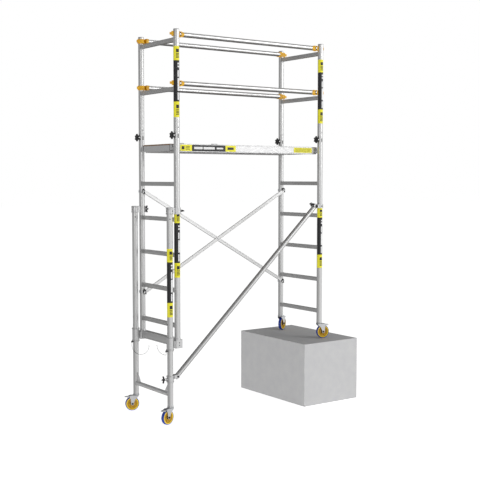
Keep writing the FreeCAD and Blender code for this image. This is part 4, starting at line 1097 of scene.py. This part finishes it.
world = bpy.data.worlds.new("studio")
bpy.context.scene.world = world
world.use_nodes = True
tree = world.node_tree
background = tree.nodes["Background"]
direction = add_node(tree, "TexCoord").outputs["Generated"]


def world_ramp(towards, stops):
    """Grey levels by how far a direction points one way: stops are (position, level)."""
    dot = add_node(tree, "VectorMath", [("operation", "DOT_PRODUCT")])
    dot.inputs[1].default_value = towards
    tree.links.new(direction, dot.inputs[0])
    spread = add_node(tree, "MapRange", Value=dot.outputs["Value"], From_Min=-1.0)
    ramp = add_node(tree, "ValToRGB", Fac=spread.outputs["Result"])
    ramp.color_ramp.interpolation = "EASE"
    while len(ramp.color_ramp.elements) < len(stops):
        ramp.color_ramp.elements.new(0.5)
    for element, (position, level) in zip(ramp.color_ramp.elements, stops):
        element.position = position
        element.color = (*grey(level), 1)
    return ramp.outputs["Color"]


# What the metal reflects: brighter to the right, dark below and above, and dimmer straight behind
around = world_ramp((0.82, -0.57, 0.0),
                    ((0.0, 0.42), (0.25, 0.44), (0.47, 0.66), (0.75, 0.88), (1.0, 0.80)))
upward = world_ramp((0.0, 0.0, 1.0),
                    ((0.0, 0.12), (0.2, 0.2), (0.32, 1.0), (0.57, 1.0), (0.68, 0.4), (1.0, 0.36)))
onward = world_ramp((0.58, 0.81, 0.0), ((0.0, 1.0), (0.82, 1.0), (0.95, 0.5), (1.0, 0.4)))


def multiplied(first, second):
    settings = [("data_type", "RGBA"), ("blend_type", "MULTIPLY")]
    return add_node(tree, "Mix", settings, Factor=1.0, A=first, B=second).outputs["Result"]


reflected = multiplied(multiplied(around, upward), onward)
seen = add_node(tree, "LightPath").outputs["Is Camera Ray"]
pick = add_node(tree, "Mix", [("data_type", "RGBA")], Factor=seen, A=reflected, B=(1, 1, 1, 1))
tree.links.new(pick.outputs["Result"], background.inputs["Color"])
background.inputs["Strength"].default_value = 1.0
bpy.context.scene.view_settings.view_transform = "Standard"

# The camera's fit to the photograph: its lens and sensor in mm, where it stands from the floor under
# the left frame's front tube, and how far it turns from +Y and looks down, in degrees
LENS, SENSOR, DISTANCE = 71.18, 36, (-4.210, -6.804, 2.079)
AZIMUTH, PITCH = 35.55, 3.72

camera_data = bpy.data.cameras.new("camera")
camera_data.sensor_width = SENSOR
camera_data.lens = LENS
camera_data.clip_end = 200
camera = bpy.data.objects.new("camera", camera_data)
camera.location = Vector((LEFT, FRONT, 0)) + Vector(DISTANCE)
azimuth, pitch = math.radians(AZIMUTH), math.radians(PITCH)
level = math.cos(pitch)
aim = Vector((math.sin(azimuth) * level, math.cos(azimuth) * level, -math.sin(pitch)))
camera.rotation_euler = aim.to_track_quat("-Z", "Y").to_euler()
bpy.context.scene.collection.objects.link(camera)
bpy.context.scene.camera = camera

bpy.context.view_layer.update()
